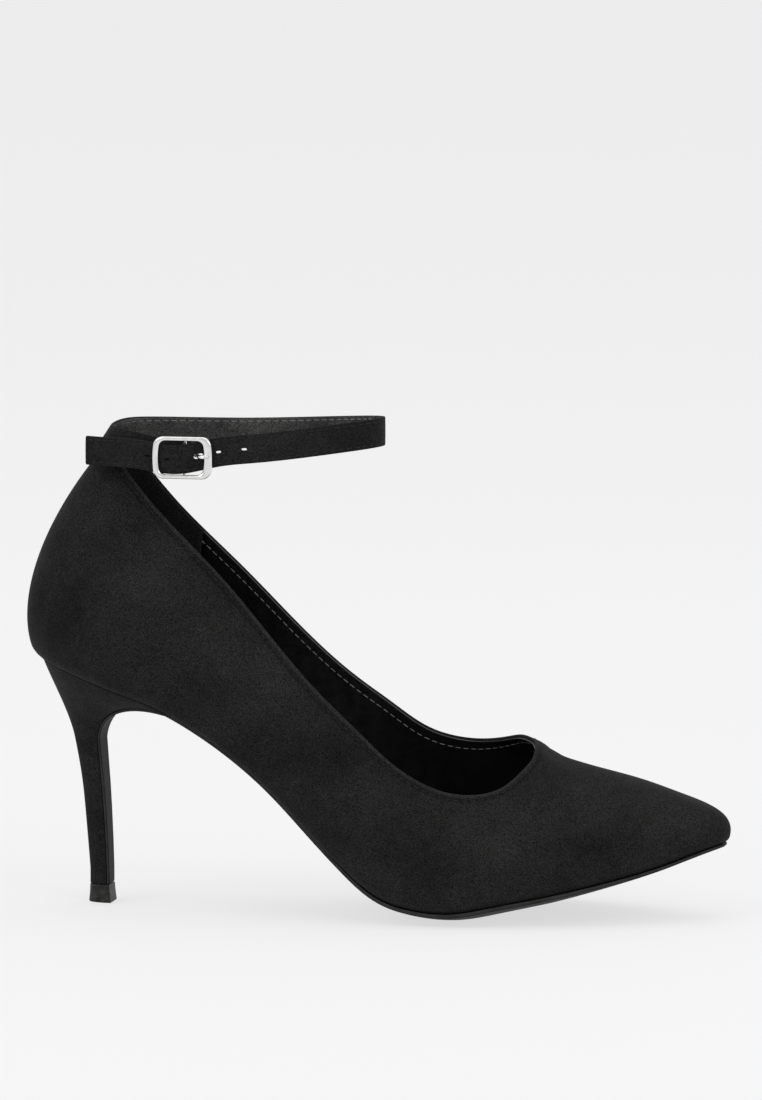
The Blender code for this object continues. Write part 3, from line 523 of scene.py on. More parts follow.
def placed(rows):
    """Turns shares of the named sizes into a place on the shoe."""
    scale = np.array([SHOE_LENGTH, BALL_HALF, HEEL_HEIGHT])
    return rows * scale - np.array([HEEL_SETBACK, 0, 0])


def feather(at):
    """Feather line; at runs from -1 (toe, outer side) over 0 (back) to 1 (toe, inner side)."""
    outer = FEATHER[:, [1, 2, 4]] * (1, -1, 1)
    inner = FEATHER[:, [1, 3, 5]]
    knots = np.concatenate([-FEATHER[::-1, 0], FEATHER[1:, 0]])
    rows = np.concatenate([outer[::-1], inner[1:]])
    knots = np.concatenate([knots[:-1] - 2, knots, knots[1:] + 2])
    rows = np.concatenate([rows[:-1], rows, rows[1:]])
    return placed(spline(knots, rows, at))


print("feather line starts at x %.1f mm" % (feather(np.zeros(1))[0, 0] / MM))


# %% Sections of the upper
def outward(at):
    """Level direction square to the feather line, away from the foot."""
    along = feather(np.asarray(at) + 1e-4) - feather(np.asarray(at) - 1e-4)
    normal = np.stack([-along[:, 1], along[:, 0], np.zeros(len(along))], -1)
    return unit(normal)


def top_edge(at):
    """Top of each section: the opening's edge up to the throat, then the ridge of the vamp."""
    at = np.asarray(at)
    knots = np.concatenate([-TOPLINE_OUTER[::-1, 0], TOPLINE_INNER[:, 0]])
    rows = np.concatenate([TOPLINE_OUTER[::-1, 1:], TOPLINE_INNER[:, 1:]])
    edge = spline(knots, rows, np.clip(at, -APEX, APEX), flat_ends=True)
    ridge = spline(RIDGE[:, 0], RIDGE[:, 1:], np.clip(np.abs(at), APEX, 1), flat_ends=True)
    return placed(np.where(np.abs(at)[:, None] < APEX, edge, ridge))


def wall_handles(at):
    """Four points that steer each section of the upper from the feather line to its top."""
    bottom, top, out = feather(at), top_edge(at), outward(at)
    foot, foot_pull, lean, head_pull, tip, fall, skew = mirrored(WALL, at).T
    foot, lean, tip, fall = np.radians([foot, lean + skew * np.sign(at), tip, fall])
    span = np.linalg.norm(top - bottom, axis=1)
    none = np.zeros_like(tip)
    up = np.stack([np.sin(tip), none, np.cos(tip)], -1)
    rise = np.cos(foot)[:, None] * out + np.sin(foot)[:, None] * up
    over = np.stack([-out[:, 0], -out[:, 1], out[:, 0] * np.tan(fall)], -1)
    arrive = np.sin(lean)[:, None] * over + np.cos(lean)[:, None] * up
    low = bottom + (foot_pull * span)[:, None] * rise
    high = top - (head_pull * span)[:, None] * arrive
    return bottom, low, high, top


def bezier(points, share):
    """Curve steered by four points: the sum of C(3, k) s^k (1 - s)^(3 - k) p_k."""
    share = np.asarray(share, float)
    share = share[None, :, None] if share.ndim == 1 else share[:, :, None]
    rest = 1 - share
    weights = (rest ** 3, 3 * rest ** 2 * share, 3 * rest * share ** 2, share ** 3)
    return sum(w * p[:, None] for w, p in zip(weights, points))


print("throat at %.1f, %.1f, %.1f mm" % tuple(top_edge(np.array([APEX]))[0] / MM))


# %% Paths of the heel's front and the sole
def heel_corner(side):
    """Handles of the heel's front edge, from the lip under the arch down to the stem."""
    lip = feather(np.array([side * SEAT_FRONT]))[0]
    stem_z, _, stem_x, stem_w = STEM[0] * HEEL_HEIGHT
    neck = np.array([stem_x, side * stem_w, stem_z])
    span = neck - lip
    return lip, lip + span * LIP_LEAVES, neck - span * NECK_MEETS, neck


def sole_path(finer):
    """Both edges of the sole's upper face, from the toe to the foot of the heel breast."""
    at = np.concatenate([[0.988, 0.980, 0.968, 0.950], np.linspace(0.925, 0.70, 10),
                         np.linspace(0.68, 0.55, 8), np.linspace(0.53, SEAT_FRONT + 0.012, 13)])
    at = np.interp(np.arange(0, len(at) - 1 + 1e-9, 1 / finer), np.arange(len(at)), at)
    outer, inner = feather(-at), feather(at)
    drop = np.linspace(0, 1, 10 * finer + 1)
    corner_outer, corner_inner = (bezier([p[None] for p in heel_corner(side)], drop)[0]
                                  for side in (-1, 1))
    stem = np.array([(front, width, z) for z, _, front, width in STEM[1:] * HEEL_HEIGHT])
    foot = np.array([[stem[-1, 0], stem[-1, 1], LIFT_HEIGHT + GAP]])
    stem = np.concatenate([corner_inner[-1:], stem, foot])
    places = np.arange(0, len(stem) - 1 + 1e-9, 1 / finer)
    stem = np.stack([np.interp(places, np.arange(len(stem)), row) for row in stem.T], -1)[1:]
    outer = np.concatenate([outer, corner_outer, stem * (1, -1, 1)])
    inner = np.concatenate([inner, corner_inner, stem])
    floor = mirrored(FLOOR, np.concatenate([at, np.full(len(drop) + len(stem), SEAT_FRONT)]))
    return outer, inner, floor[:, 0] * BALL_HALF, floor[:, 1] * BALL_HALF, len(at)


print("sole has", len(sole_path(1)[0]), "places along each edge")


# %% Paths of strap and buckle
def strap_line(share):
    """Middle line of the strap with its lean; share runs 0 to 1 along it."""
    rows = np.concatenate([placed(STRAP[:, :3]), STRAP[:, 3:] / 1000], axis=1)
    knots = way_along(rows[:, :3])
    return spline(knots / knots[-1], rows, share)


def strap_frame(share):
    """Middle, way along, outward and upward directions of the strap at the places given."""
    line = strap_line(share)
    later, earlier = np.clip(share + 1e-3, 0, 1), np.clip(share - 1e-3, 0, 1)
    ahead = unit(strap_line(later)[:, :3] - strap_line(earlier)[:, :3])
    out = unit(np.stack([-ahead[:, 1], ahead[:, 0], 0 * ahead[:, 0]], -1))
    lean = np.radians(line[:, 3] * 1000)[:, None]
    up = np.cross(out, ahead)
    up *= np.sign(up[:, 2:3])
    tall = np.cos(lean) * up - np.sin(lean) * out
    thick = np.cos(lean) * out + np.sin(lean) * up
    return line[:, :3], ahead, thick, tall


def prong_hole_x():
    """Share of the shoe's length at which the prong comes through, just behind the front bar."""
    ahead = BUCKLE_LENGTH / 2 - BUCKLE_FRONT_BAR - PRONG_SETBACK
    return STRAP[BUCKLE_ROW, 0] + (ahead + BUCKLE_SHIFT) / SHOE_LENGTH


def outer_layer_at(x_share):
    """Place on the strap's outer layer where it has the given x."""
    share = np.linspace(0.55, 1, 1500)
    middle, ahead, thick, tall = strap_frame(share)
    k = int(np.argmin(np.abs(middle[:, 0] + HEEL_SETBACK - x_share * SHOE_LENGTH)))
    return middle[k], ahead[k], thick[k], tall[k]


def buckle_frame_axes():
    """Middle of the buckle's centre bar with its directions along, out and up."""
    place = STRAP[BUCKLE_ROW, 0] + BUCKLE_SHIFT / SHOE_LENGTH
    reach = (BUCKLE_LENGTH / 2 + GAP) / SHOE_LENGTH
    middle = outer_layer_at(place)[0]
    middle[2] += BUCKLE_RISE
    left, right = outer_layer_at(place - reach)[0], outer_layer_at(place + reach)[0]
    left[2] = right[2] = middle[2]
    along = (right - left) / np.linalg.norm(right - left)
    out = np.cross(along, [0, 0, 1])
    out /= np.linalg.norm(out)
    up = np.cross(out, along)
    ends = (left + right) / 2
    plane = ends + out * (STRAP_THICK / 2 + 2 * GAP + BUCKLE_THICK / 2)
    bar = middle - out * (STRAP_THICK / 2 + GAP + PRONG_RING_WALL + GAP + BAR_RADIUS)
    bar_depth = float(np.dot(bar - plane, out))
    return plane, along, out, up, bar_depth


print("length %.0f mm, heel %.0f mm" % (SHOE_LENGTH / MM, HEEL_HEIGHT / MM))

# %% [markdown]
# ## The skin of the upper
# The two sides of the upper are drawn as columns that stand round the foot, closer together
# at the heel, the throat and the toe. In front of the throat both sides share the ridge of
# the vamp. The top is held back a little, because the suede folds over there, and the foot
# of the wall rounds into the tucked margin that the sole covers.

# %% Columns and rows of the skin
SIDE_FINE = 210
WALL_FINE = 56
WALL_RISE = 9.0          # the skin stands a full wall outside the last from 1 / 9 of its way up
FOLD = 0.0006            # radius of the folded suede edge
WELT = 0.0008            # reach of the rounding at the feather line
SEAT_WELT = 0.0003       # the same over the heel, where the seam is tight


def fine_stations():
    """Sections of one side; their spacing is the inverse of a sum of three soft bumps."""
    even = np.linspace(0, 1, 4001)
    crowd = 1 + 1.5 * np.exp(-(even / 0.10) ** 2) + 1.0 * np.exp(-((even - APEX) / 0.05) ** 2)
    crowd += 2.2 * np.exp(-((even - 1) / 0.06) ** 2)
    way = np.concatenate([[0], np.cumsum((crowd[1:] + crowd[:-1]) / 2)])
    stations = np.interp(np.linspace(0, way[-1], SIDE_FINE + 1), way, even)
    stations[np.argmin(np.abs(stations - APEX))] = APEX
    return stations


ONE_SIDE = fine_stations()
AT = np.concatenate([-ONE_SIDE[:0:-1], ONE_SIDE[:-1]])
COLUMNS = len(AT)
RIM = np.flatnonzero(np.abs(AT) <= APEX + 1e-9)[:-1]
ON_RIDGE = np.abs(AT) >= APEX - 1e-9
WELT_REACH = np.interp(np.abs(AT), (SEAT_FRONT, SEAT_FRONT + 0.05), (SEAT_WELT, WELT))


def welded(rows, first=0):
    """Point numbers of a wall grid whose two sides share the ridge of the vamp."""
    number = first + np.arange(COLUMNS * rows).reshape(COLUMNS, rows)
    far_side = np.flatnonzero(ON_RIDGE & (AT > 0))
    number[far_side, -1] = number[-far_side % COLUMNS, -1]
    return number


def surface_normals(points, quads):
    """Direction square to the surface: the sum of (c - a) x (d - b) over the quads round it."""
    a, b, c, d = (points[quads[:, k]] for k in range(4))
    across = np.cross(c - a, d - b)
    total = np.zeros_like(points)
    for k in range(4):
        np.add.at(total, quads[:, k], across)
    return total / np.maximum(np.linalg.norm(total, axis=1), 1e-12)[:, None]


def wall_normals(skin):
    """Outward normals of a wall grid, the same on both sides of the ridge."""
    number = welded(skin.shape[1])
    normals = surface_normals(skin.reshape(-1, 3), grid_faces(number, True))[number]
    return normals * np.sign(np.sum(normals[:, 0] * outward(AT)))


def steady(normals):
    """Median over neighbouring sections, then their mean, so that one bad face counts little."""
    near = np.median([np.roll(normals, step, axis=0) for step in range(-7, 8)], axis=0)
    near = sum(np.roll(near, step, axis=0) for step in range(-3, 4))
    far_side = np.flatnonzero(ON_RIDGE & (AT > 0))
    facing = -far_side % COLUMNS
    near[far_side, -1] = near[facing, -1] = near[far_side, -1] + near[facing, -1]
    return unit(near)


def edge_direction(skin, normals):
    """Unit vector in the surface, square to the opening's edge and away from the opening."""
    top = skin[RIM, -1]
    along = np.roll(top, -1, axis=0) - np.roll(top, 1, axis=0)
    away = unit(np.cross(along, normals[RIM, -1]))
    return away * np.sign(np.sum(away * (skin[RIM, -3] - top)))


print(COLUMNS, "columns,", WALL_FINE + 1, "rows")

# %% [markdown]
# Soft marks come from handling and standing: shallow troughs over the flex of the ball, a
# slack place in the quarter and a faint dip over the toes. Each is a long soft bell in its
# own place, given in millimetres: side, x, z, slope, half length, half width, depth.

# %% Creases
CREASES = np.array([
    (-1, 96, 30, 62, 14, 3.2, 0.22),
    (-1, 104, 24, 70, 12, 2.6, 0.16),
    (-1, 122, 34, 78, 13, 3.4, 0.18),
    (-1, 60, 74, -38, 20, 4.0, 0.20),
    (-1, 34, 96, -44, 16, 3.6, 0.16),
    (-1, 10, 118, -70, 15, 3.5, 0.12),
    (-1, 158, 30, 35, 11, 4.5, 0.16),
    (-1, 180, 36, 12, 14, 4.0, -0.10),
    (1, 98, 34, 60, 15, 3.4, 0.22),
    (1, 116, 36, 75, 12, 3.0, 0.16),
    (1, 50, 84, -40, 18, 4.2, 0.18),
    (1, 165, 38, 25, 14, 4.2, 0.14),
])


def creased(skin, normals):
    """Moves the skin by -depth * exp(-(u / length)^2 - (v / width)^2) along its normal."""
    depth = np.zeros(skin.shape[:2])
    for side, x, z, slope, length, width, deep in CREASES:
        turn = math.radians(slope)
        dx, dz = skin[..., 0] / MM - x, skin[..., 2] / MM - z
        u = dx * math.cos(turn) + dz * math.sin(turn)
        v = dz * math.cos(turn) - dx * math.sin(turn)
        facing = 1 / (1 + np.exp(-side * skin[..., 1] / (4 * MM)))
        depth += deep * MM * facing * np.exp(-(u / length) ** 2 - (v / width) ** 2)
    return skin - normals * depth[..., None]


def make_skin():
    """Outer skin of the upper, held back from the opening by the radius of the fold."""
    handles = list(wall_handles(AT))
    rough = bezier(handles, np.linspace(0, 1, WALL_FINE + 1))
    away = edge_direction(rough, steady(wall_normals(rough)))
    shift = np.zeros((COLUMNS, 3))
    shift[RIM] = away
    ahead = np.clip((np.abs(AT) - APEX) / 0.05, 0, 1)
    fade = 1 - ahead ** 2 * (3 - 2 * ahead)
    shift = np.where(ON_RIDGE[:, None], away[0] * fade[:, None], shift) * FOLD
    low = WELT_REACH / (3 * np.linalg.norm(handles[1] - handles[0], axis=1))
    even = 1 - (1 - np.linspace(0, 1, WALL_FINE + 1)) ** 1.3
    share = low[:, None] + (1 - low[:, None]) * even
    handles[2], handles[3] = handles[2] + shift, handles[3] + shift
    skin = bezier(handles, share)
    rise = np.clip(share * WALL_RISE, 0, 1)
    out = UPPER_WALL * (1 - (1 - rise) ** 2)
    skin = skin + steady(wall_normals(skin)) * out[..., None]
    skin = creased(skin, steady(wall_normals(skin)))
    normals = steady(wall_normals(skin))
    return skin, normals, edge_direction(skin, normals)


SKIN, SKIN_NORMALS, AWAY = make_skin()


def underside(at, inwards):
    """Point under the foot, so many metres in from the feather line towards the middle."""
    edge, other = feather(at), feather(-at)
    middle = (edge + other) / 2
    half = np.maximum(np.linalg.norm(edge - middle, axis=1), 1e-6)
    share = 1 - np.clip(inwards / half, 0, 1)
    point = middle + (edge - middle) * share[:, None]
    point[:, 2] -= mirrored(FLOOR, at)[:, 0] * BALL_HALF * (1 - share ** 2.2)
    return point


def make_margin():
    """Tucked margin under the foot, then a quadratic arc round the feather line."""
    flat = [underside(AT, reach * MM) for reach in (4.0, 3.0, 2.0, 1.3)]
    start, end = underside(AT, WELT_REACH), SKIN[:, 0]
    corner = feather(AT)
    share = np.linspace(0, 1, 6)[:-1]
    arc = [(1 - s) ** 2 * start + 2 * s * (1 - s) * corner + s ** 2 * end for s in share]
    return np.stack(flat + arc, axis=1)


MARGIN = make_margin()
print("skin from x %.1f to %.1f mm" % (SKIN[..., 0].min() / MM, SKIN[..., 0].max() / MM))

# %% [markdown]
# ## Upper and linings
# One recipe serves three shells. Each lies between two depths under the skin and is rolled
# over at the opening by a half circle as wide as the shell is thick. The suede folds over
# first; the heel grip and the smooth vamp lining end a little lower behind it. The grip
# lies on the lining along an upright seam at either side.

# %% Shells of the wall
ROLL_STEPS = 8
SUEDE_DEPTH = 2 * FOLD
LINING_DEPTH = 0.00185
GRIP_END = 0.196          # section where the heel grip ends
GRIP_LAP = 0.004          # how far the grip runs on over the vamp lining, as a section
GRIP_UNDER = 0.0003       # room between the suede and the grip
GRIP_OVER = 0.0002        # how far the grip stands over the lining's inner face
LINING_UNDER = 0.00005    # room between the suede and the lining


def wall_shell(name, near, far, columns, rim, closed, margin=False):
    """Shell between two depths; its rim is the half circle c + r (n cos f - away sin f)."""
    outer, inner = SKIN - SKIN_NORMALS * near, SKIN - SKIN_NORMALS * far
    if margin:
        outer = np.concatenate([MARGIN, outer], axis=1)
    first = welded(outer.shape[1])
    second = welded(inner.shape[1], outer.size // 3)
    radius = (far - near) / 2
    turn = np.linspace(0, np.pi, ROLL_STEPS + 1)[1:-1, None, None]
    normal, away = SKIN_NORMALS[RIM, -1], AWAY
    centre = SKIN[RIM, -1] - normal * (near + radius)
    roll = centre + radius * (np.cos(turn) * normal - np.sin(turn) * away)
    roll_number = np.full((COLUMNS, ROLL_STEPS - 1), -1)
    roll_number[RIM] = np.arange(roll.size // 3).reshape(ROLL_STEPS - 1, -1).T
    roll_number += (outer.size + inner.size) // 3
    lip = np.concatenate([first[rim, -1:], roll_number[rim], second[rim, -1:]], axis=1)
    foot = np.stack([first[columns, 0], second[columns, 0]], axis=1)
    parts = [grid_faces(first[columns], closed), grid_faces(second[columns], closed),
             grid_faces(foot, closed), grid_faces(lip, closed)]
    if not closed:
        for end in (0, -1):
            side = np.stack([first[columns[end]], second[columns[end]]], axis=1)
            parts += [grid_faces(side), lip[end:][:1]]
    points = np.concatenate([outer.reshape(-1, 3), inner.reshape(-1, 3), roll.reshape(-1, 3)])
    return outwards(new_piece(name, points, *parts))


def between(low, high):
    """Columns whose section lies between two places, in their order round the foot."""
    return np.flatnonzero((AT >= low - 1e-9) & (AT <= high + 1e-9))


ALL_COLUMNS = np.arange(COLUMNS)
GRIP_COLUMNS = between(-GRIP_END - GRIP_LAP, GRIP_END + GRIP_LAP)
VAMP_COLUMNS = np.concatenate([between(GRIP_END, 1), between(-1, -GRIP_END)])
VAMP_RIM = np.concatenate([between(GRIP_END, APEX)[:-1], between(-APEX, -GRIP_END)])

upper = wall_shell("upper_suede", 0.0, SUEDE_DEPTH, ALL_COLUMNS, RIM, True, margin=True)
grip = wall_shell("heel_grip", SUEDE_DEPTH + GRIP_UNDER, LINING_DEPTH + GRIP_OVER,
                  GRIP_COLUMNS, GRIP_COLUMNS, False)
lining = wall_shell("vamp_lining", SUEDE_DEPTH + LINING_UNDER, LINING_DEPTH,
                    VAMP_COLUMNS, VAMP_RIM, False)

# %% [markdown]
# ## Insole, outsole, heel and top lift
# These are lofts: a row of closed sections with a skin over them. The insole follows the
# hollow of the foot. The outsole runs from the toe through the arch and turns down over the
# front of the heel, where it becomes a thin flap. Its edge is rounded.

# %% Lofts
def loft(name, rings, sharp=40.0):
    """Skin over closed sections with the same number of points, and a fan at either end."""
    rings = np.asarray(rings, float)
    number = np.arange(rings.size // 3).reshape(rings.shape[:2])
    points = np.concatenate([rings.reshape(-1, 3), rings[[0, -1]].mean(axis=1)])
    fans = []
    for k, ring in ((0, number[0]), (1, number[-1])):
        middle = np.full(len(ring), number.size + k)
        fans.append(np.stack([middle, ring, np.roll(ring, -1)], axis=1))
    piece = outwards(new_piece(name, points, grid_faces(number, False, True), *fans))
    piece.data.set_sharp_from_angle(angle=math.radians(sharp))
    return piece


def with_front(ring, steps=8):
    """Closes an open section with a straight front."""
    share = np.linspace(0, 1, steps + 1)[1:-1, None]
    return np.concatenate([ring, ring[-1] + (ring[0] - ring[-1]) * share])


def make_insole():
    """Board with its sock: low edge plus thickness * (1 - 0.6 |across|^14)."""
    at = np.concatenate([np.linspace(0.012, 0.10, 16), np.linspace(0.108, INSOLE_FRONT, 110)])
    across = np.sin(np.linspace(-np.pi / 2, np.pi / 2, 31))[:, None]
    inset = (UPPER_WALL + GAP) / np.sin(np.radians(mirrored(WALL, at)[:, 0]))[:, None]
    low = feather(-at) - outward(-at) * inset
    high = feather(at) - outward(at) * inset
    edge_low, edge_high = feather(-at)[:, 1], feather(at)[:, 1]
    sag = mirrored(FLOOR, at)[:, 0] * BALL_HALF
    rings = []
    for k in range(len(at)):
        base = (low[k] + high[k]) / 2 + (high[k] - low[k]) / 2 * across
        place = (2 * base[:, 1] - edge_low[k] - edge_high[k]) / (edge_high[k] - edge_low[k])
        base[:, 2] -= sag[k] * (1 - np.clip(np.abs(place), 0, 1) ** 2.2)
        top = base.copy()
        top[:, 2] += INSOLE_THICK * (1 - 0.6 * np.abs(across[:, 0]) ** 14)
        rings.append(np.concatenate([base, top[::-1]]))
    return loft("insole_sock", rings)


insole = make_insole()

# %% Outsole
EDGE_STEPS = np.array([
    # millimetres in from the edge, share of the depth
    (0.16, 0.00), (0.04, 0.05), (0.00, 0.18), (0.00, 0.45), (0.05, 0.68), (0.15, 0.86),
    (0.32, 0.97), (0.55, 1.00),
])

SOLE_REACH = 0.0012        # how far the sole's edge stands out under the upper's wall
TOE_REACH = 0.0022         # the same at the tip of the toe
BREAST_ROWS = 32           # rows over which the sole thins to the flap of the heel breast
FLAP_INSET = 0.0002        # the flap's edge lies so far inside the heel's front
WAIST = 0.45               # share of the length behind which the sole thins to the flap
LEAST, MOST = 0.55, 1.25   # limits of the half width, as shares of that of the feather line
FULL_EDGE = 0.002          # half width from which the edge is rounded in full
HOLLOW = 2.2               # power of the hollow under the foot


def make_outsole():
    """Sections across the sole; thickness = middle + (edge - middle) |across|^2.2."""
    outer, inner, sag, inset, level_rows = sole_path(4)
    rows = len(outer)
    middle = (outer + inner) / 2
    along = unit(np.gradient(middle[:, [0, 2]], axis=0))
    down = np.stack([-along[:, 1], np.zeros(rows), along[:, 0]], -1)
    whole = np.maximum((inner - outer)[:, 1] / 2, 1e-9)
    past = np.clip((np.arange(rows) - level_rows) / BREAST_ROWS, 0, 1)
    inset = inset * (1 - past) + FLAP_INSET * past
    slim = np.clip((middle[:, 0] + HEEL_SETBACK) / SHOE_LENGTH / WAIST, 0, 1)
    blend = (1 - past) * slim ** 2
    half = np.clip(whole - inset + SOLE_REACH * blend, whole * LEAST, whole * MOST)
    ahead = np.clip(1 - (middle[0, 0] - middle[:, 0]) / TOE_TAPER, 0, 1) ** 2
    forward = np.stack([-along[:, 0], np.zeros(rows), -along[:, 1]], -1)
    middle = middle + forward * (TOE_REACH * ahead)[:, None]
    across = np.sin(np.linspace(-np.pi / 2, np.pi / 2, 33))[1:-1]
    level, edge, depths = 0 * across, *EDGE_STEPS.T
    side = np.concatenate([across, np.ones_like(edge), across[::-1], -np.ones_like(edge)])
    edge_in = np.concatenate([level, edge, level, -edge[::-1]]) * MM
    deep = np.concatenate([level, depths, level + 1, depths[::-1]])
    thick = SOLE_MIDDLE + (SOLE_EDGE - SOLE_MIDDLE) * np.abs(side) ** HOLLOW
    rings = []
    for k in range(rows):
        share = (side * half[k] - edge_in * min(1, half[k] / FULL_EDGE)) / whole[k]
        share = np.clip(share, -half[k] / whole[k], half[k] / whole[k])
        top = middle[k] + np.outer(share, (inner[k] - outer[k]) / 2)
        top[:, 2] -= sag[k] * (1 - np.minimum(np.abs(share), 1) ** HOLLOW)
        top = top + down[k] * GAP
        toe = np.clip((SHOE_LENGTH - HEEL_SETBACK - middle[k, 0]) / TOE_TAPER, 0, 1)
        depth = (SOLE_TOE + (thick - SOLE_TOE) * toe) * blend[k] + FLAP_THICK * (1 - blend[k])
        ring = top + down[k] * (depth * deep)[:, None]
        ring[:, 2] = np.maximum(ring[:, 2], 0)
        rings.append(ring)
    return loft("outsole", rings, 50)


outsole = make_outsole()

# %% Heel and top lift
SEAT_EDGE = ((0.0004, 0.00022), (0.0001, 0.00014), (0.0, -0.0001))   # in and up, in metres
LIFT_STEPS = (
    # height over the floor and growth of the block, in millimetres
    (0, -0.05), (0.05, 0.25), (0.2, 0.42), (0.45, 0.48), (1.2, 0.42), (2.4, 0.28),
    (3.6, 0.18), (5.0, 0.12), (6.0, 0.10), (6.25, 0.02), (6.4, -0.18),
)
LIFT_FLARE = 0.0004


def half_ring(turn, z, back, front, width):
    """Half round section: x = front - (front - back) sin turn, y = -width cos turn."""
    x = front - (front - back) * np.sin(turn)
    return np.stack([x, -width * np.cos(turn), 0 * turn + z], -1)


def make_heel():
    """Seat as wide as the upper, drawn in to a slim stem by curves with four handles."""
    turn = np.linspace(0, np.pi, 81)
    seat = feather(np.linspace(-SEAT_FRONT, SEAT_FRONT, len(turn)))
    stem_z, back, front, width = STEM[0] * HEEL_HEIGHT
    neck = half_ring(turn, stem_z, back, front, width)
    span = neck - seat
    lip = (1 - np.sin(turn))[:, None] ** 3
    leave = lip * LIP_LEAVES + (1 - lip) * BACK_LEAVES
    come = lip * NECK_MEETS + (1 - lip) * BACK_MEETS
    flow = bezier((seat, seat + span * leave, neck - span * come, neck), np.linspace(0, 1, 49))
    rings = [with_front(ring) for ring in np.swapaxes(flow, 0, 1)]
    first = rings[0] - (0, 0, GAP)
    inner = unit(first.mean(axis=0) - first)
    rings[0:1] = [first + inner * inwards + (0, 0, up) for inwards, up in SEAT_EDGE]
    heights = np.linspace(STEM[0, 0], (LIFT_HEIGHT + GAP) / HEEL_HEIGHT, 40)[1:]
    stem = spline(-STEM[:, 0], STEM[:, 1:], -np.maximum(heights, STEM[-1, 0])) * HEEL_HEIGHT
    for z, (back, front, width) in zip(heights * HEEL_HEIGHT, stem):
        rings.append(with_front(half_ring(turn, z, back, front, width)))
    return loft("heel_cover", rings)


def make_top_lift():
    """Hard block; its edges are rounded top and bottom and it flares a little to the floor."""
    turn = np.linspace(0, np.pi, 61)
    _, back, front, width = STEM[-1] * HEEL_HEIGHT
    reach = front + GAP + FLAP_THICK
    rings = []
    for z, grow in LIFT_STEPS:
        grow, z = grow * MM, z * MM
        ahead = reach + LIFT_FLARE * (1 - z / LIFT_HEIGHT) + grow * 0.5
        rings.append(with_front(half_ring(turn, z, back - grow, ahead, width + grow)))
    return loft("top_lift", rings)


heel = make_heel()
top_lift = make_top_lift()

# %% [markdown]
# ## Ankle strap
# The strap is two plies with a turned edge, stitched a little in from either side. The
# section is swept along the strap's middle line. A shallow trough on either face takes the
# stitches, and the edge has a fine groove where the plies meet. Where the strap lies double,
# the holes are cut through both plies of its outer layer only.

# %% Strap
STRAP_FINE = 720
STITCH_INSET = 0.00115
PUNCH = 0.00044            # half height of a punched hole
TROUGH = 0.00016           # half width and depth of the trough under the stitches
PUFF = 0.00008             # crown of either face


def ply_section(half, thick):
    """Closed section of one ply: crowned face with two troughs, rounded edges, flat back."""
    reach = np.array([0.0, 0.28, 0.52, 0.66, 0.72, 0.75, 0.77, 0.79, 0.82, 0.87, 0.924])
    a = half * np.concatenate([-reach[:0:-1], reach])
    trough = np.exp(-((np.abs(a) - (half - STITCH_INSET)) / TROUGH) ** 2) * TROUGH
    puff = PUFF * (1 - (a / half) ** 2)
    face = np.stack([a, thick + puff - trough], -1)
    corner = np.array([(0.964, 0.94), (0.99, 0.78), (1.0, 0.53), (1.0, 0.24), (0.994, 0.02)])
    corner = corner * (half, thick)
    return np.concatenate([face, corner, corner[::-1] * (-1, 1)])


def make_ply(name, half, face):
    """Sweeps the section of a ply along the strap, then cuts the holes and the prong's slot."""
    share = np.linspace(0, 1, STRAP_FINE + 1)
    middle, _, thick, tall = strap_frame(share)
    section = ply_section(half, STRAP_THICK / 2)
    rings = (middle[:, None] + section[:, :1] * tall[:, None]
             + face * section[:, 1:] * thick[:, None])
    ends = [rings[k].mean(axis=0) + (rings[k] - rings[k].mean(axis=0)) * 0.93 for k in (0, -1)]
    step = middle[-1] - middle[-2]
    step *= 0.0002 / np.linalg.norm(step)
    rings = np.concatenate([ends[0][None], rings, (ends[1] + step)[None]])
    ply = loft(name, rings)
    for place in STRAP_HOLES_X:
        pierce(ply, place, PUNCH, PUNCH * 1.2)
    pierce(ply, prong_hole_x(), PRONG_RADIUS + GAP / 2, PRONG_HOLE_LENGTH / 2)
    with bpy.context.temp_override(object=ply, active_object=ply):
        for cut in list(ply.modifiers):
            bpy.ops.object.modifier_apply(modifier=cut.name)
    for cutter in [o for o in bpy.data.objects if o.name.startswith("hole_cutter")]:
        bpy.data.objects.remove(cutter)
    ply.data.set_sharp_from_angle(angle=math.radians(40))
    return ply


def pierce(ply, x_share, radius, stretch):
    """Boolean with a small drum, drawn out along the strap by the stretch at either side."""
    middle, ahead, thick, tall = outer_layer_at(x_share)
    angle = round_angles(24)
    ring = np.outer(radius * np.cos(angle) + stretch * np.sign(np.cos(angle)), ahead)
    ring = ring + np.outer(radius * np.sin(angle), tall)
    reach = STRAP_THICK * 0.5 + 0.0002
    cutter = loft("hole_cutter", [middle + ring - thick * reach, middle + ring + thick * reach])
    cut = ply.modifiers.new("hole", "BOOLEAN")
    cut.operation, cut.solver, cut.object = "DIFFERENCE", "EXACT", cutter


strap = make_ply("ankle_strap", STRAP_WIDTH / 2, 1)
strap_lining = make_ply("strap_lining", STRAP_WIDTH / 2 - 0.0002, -1)

# %% [markdown]
# ## Buckle
# The frame is a flat ring with bowed ends and a soft crown, polished all over. A centre bar
# set back behind the strap carries the prong, whose ring goes round the bar. The prong comes
# out through the slot and lies on the front bar.

# %% Buckle frame
BUCKLE_CROWN = np.array([
    # share of the way from the outside to the window, depth as a share of the thickness
    (0.00, -0.30), (0.00, 0.10), (0.05, 0.30), (0.14, 0.42), (0.28, 0.49), (0.50, 0.52),
    (0.72, 0.49), (0.86, 0.42), (0.95, 0.30), (1.00, 0.10), (1.00, -0.30), (0.92, -0.46),
    (0.50, -0.50), (0.08, -0.46),
])


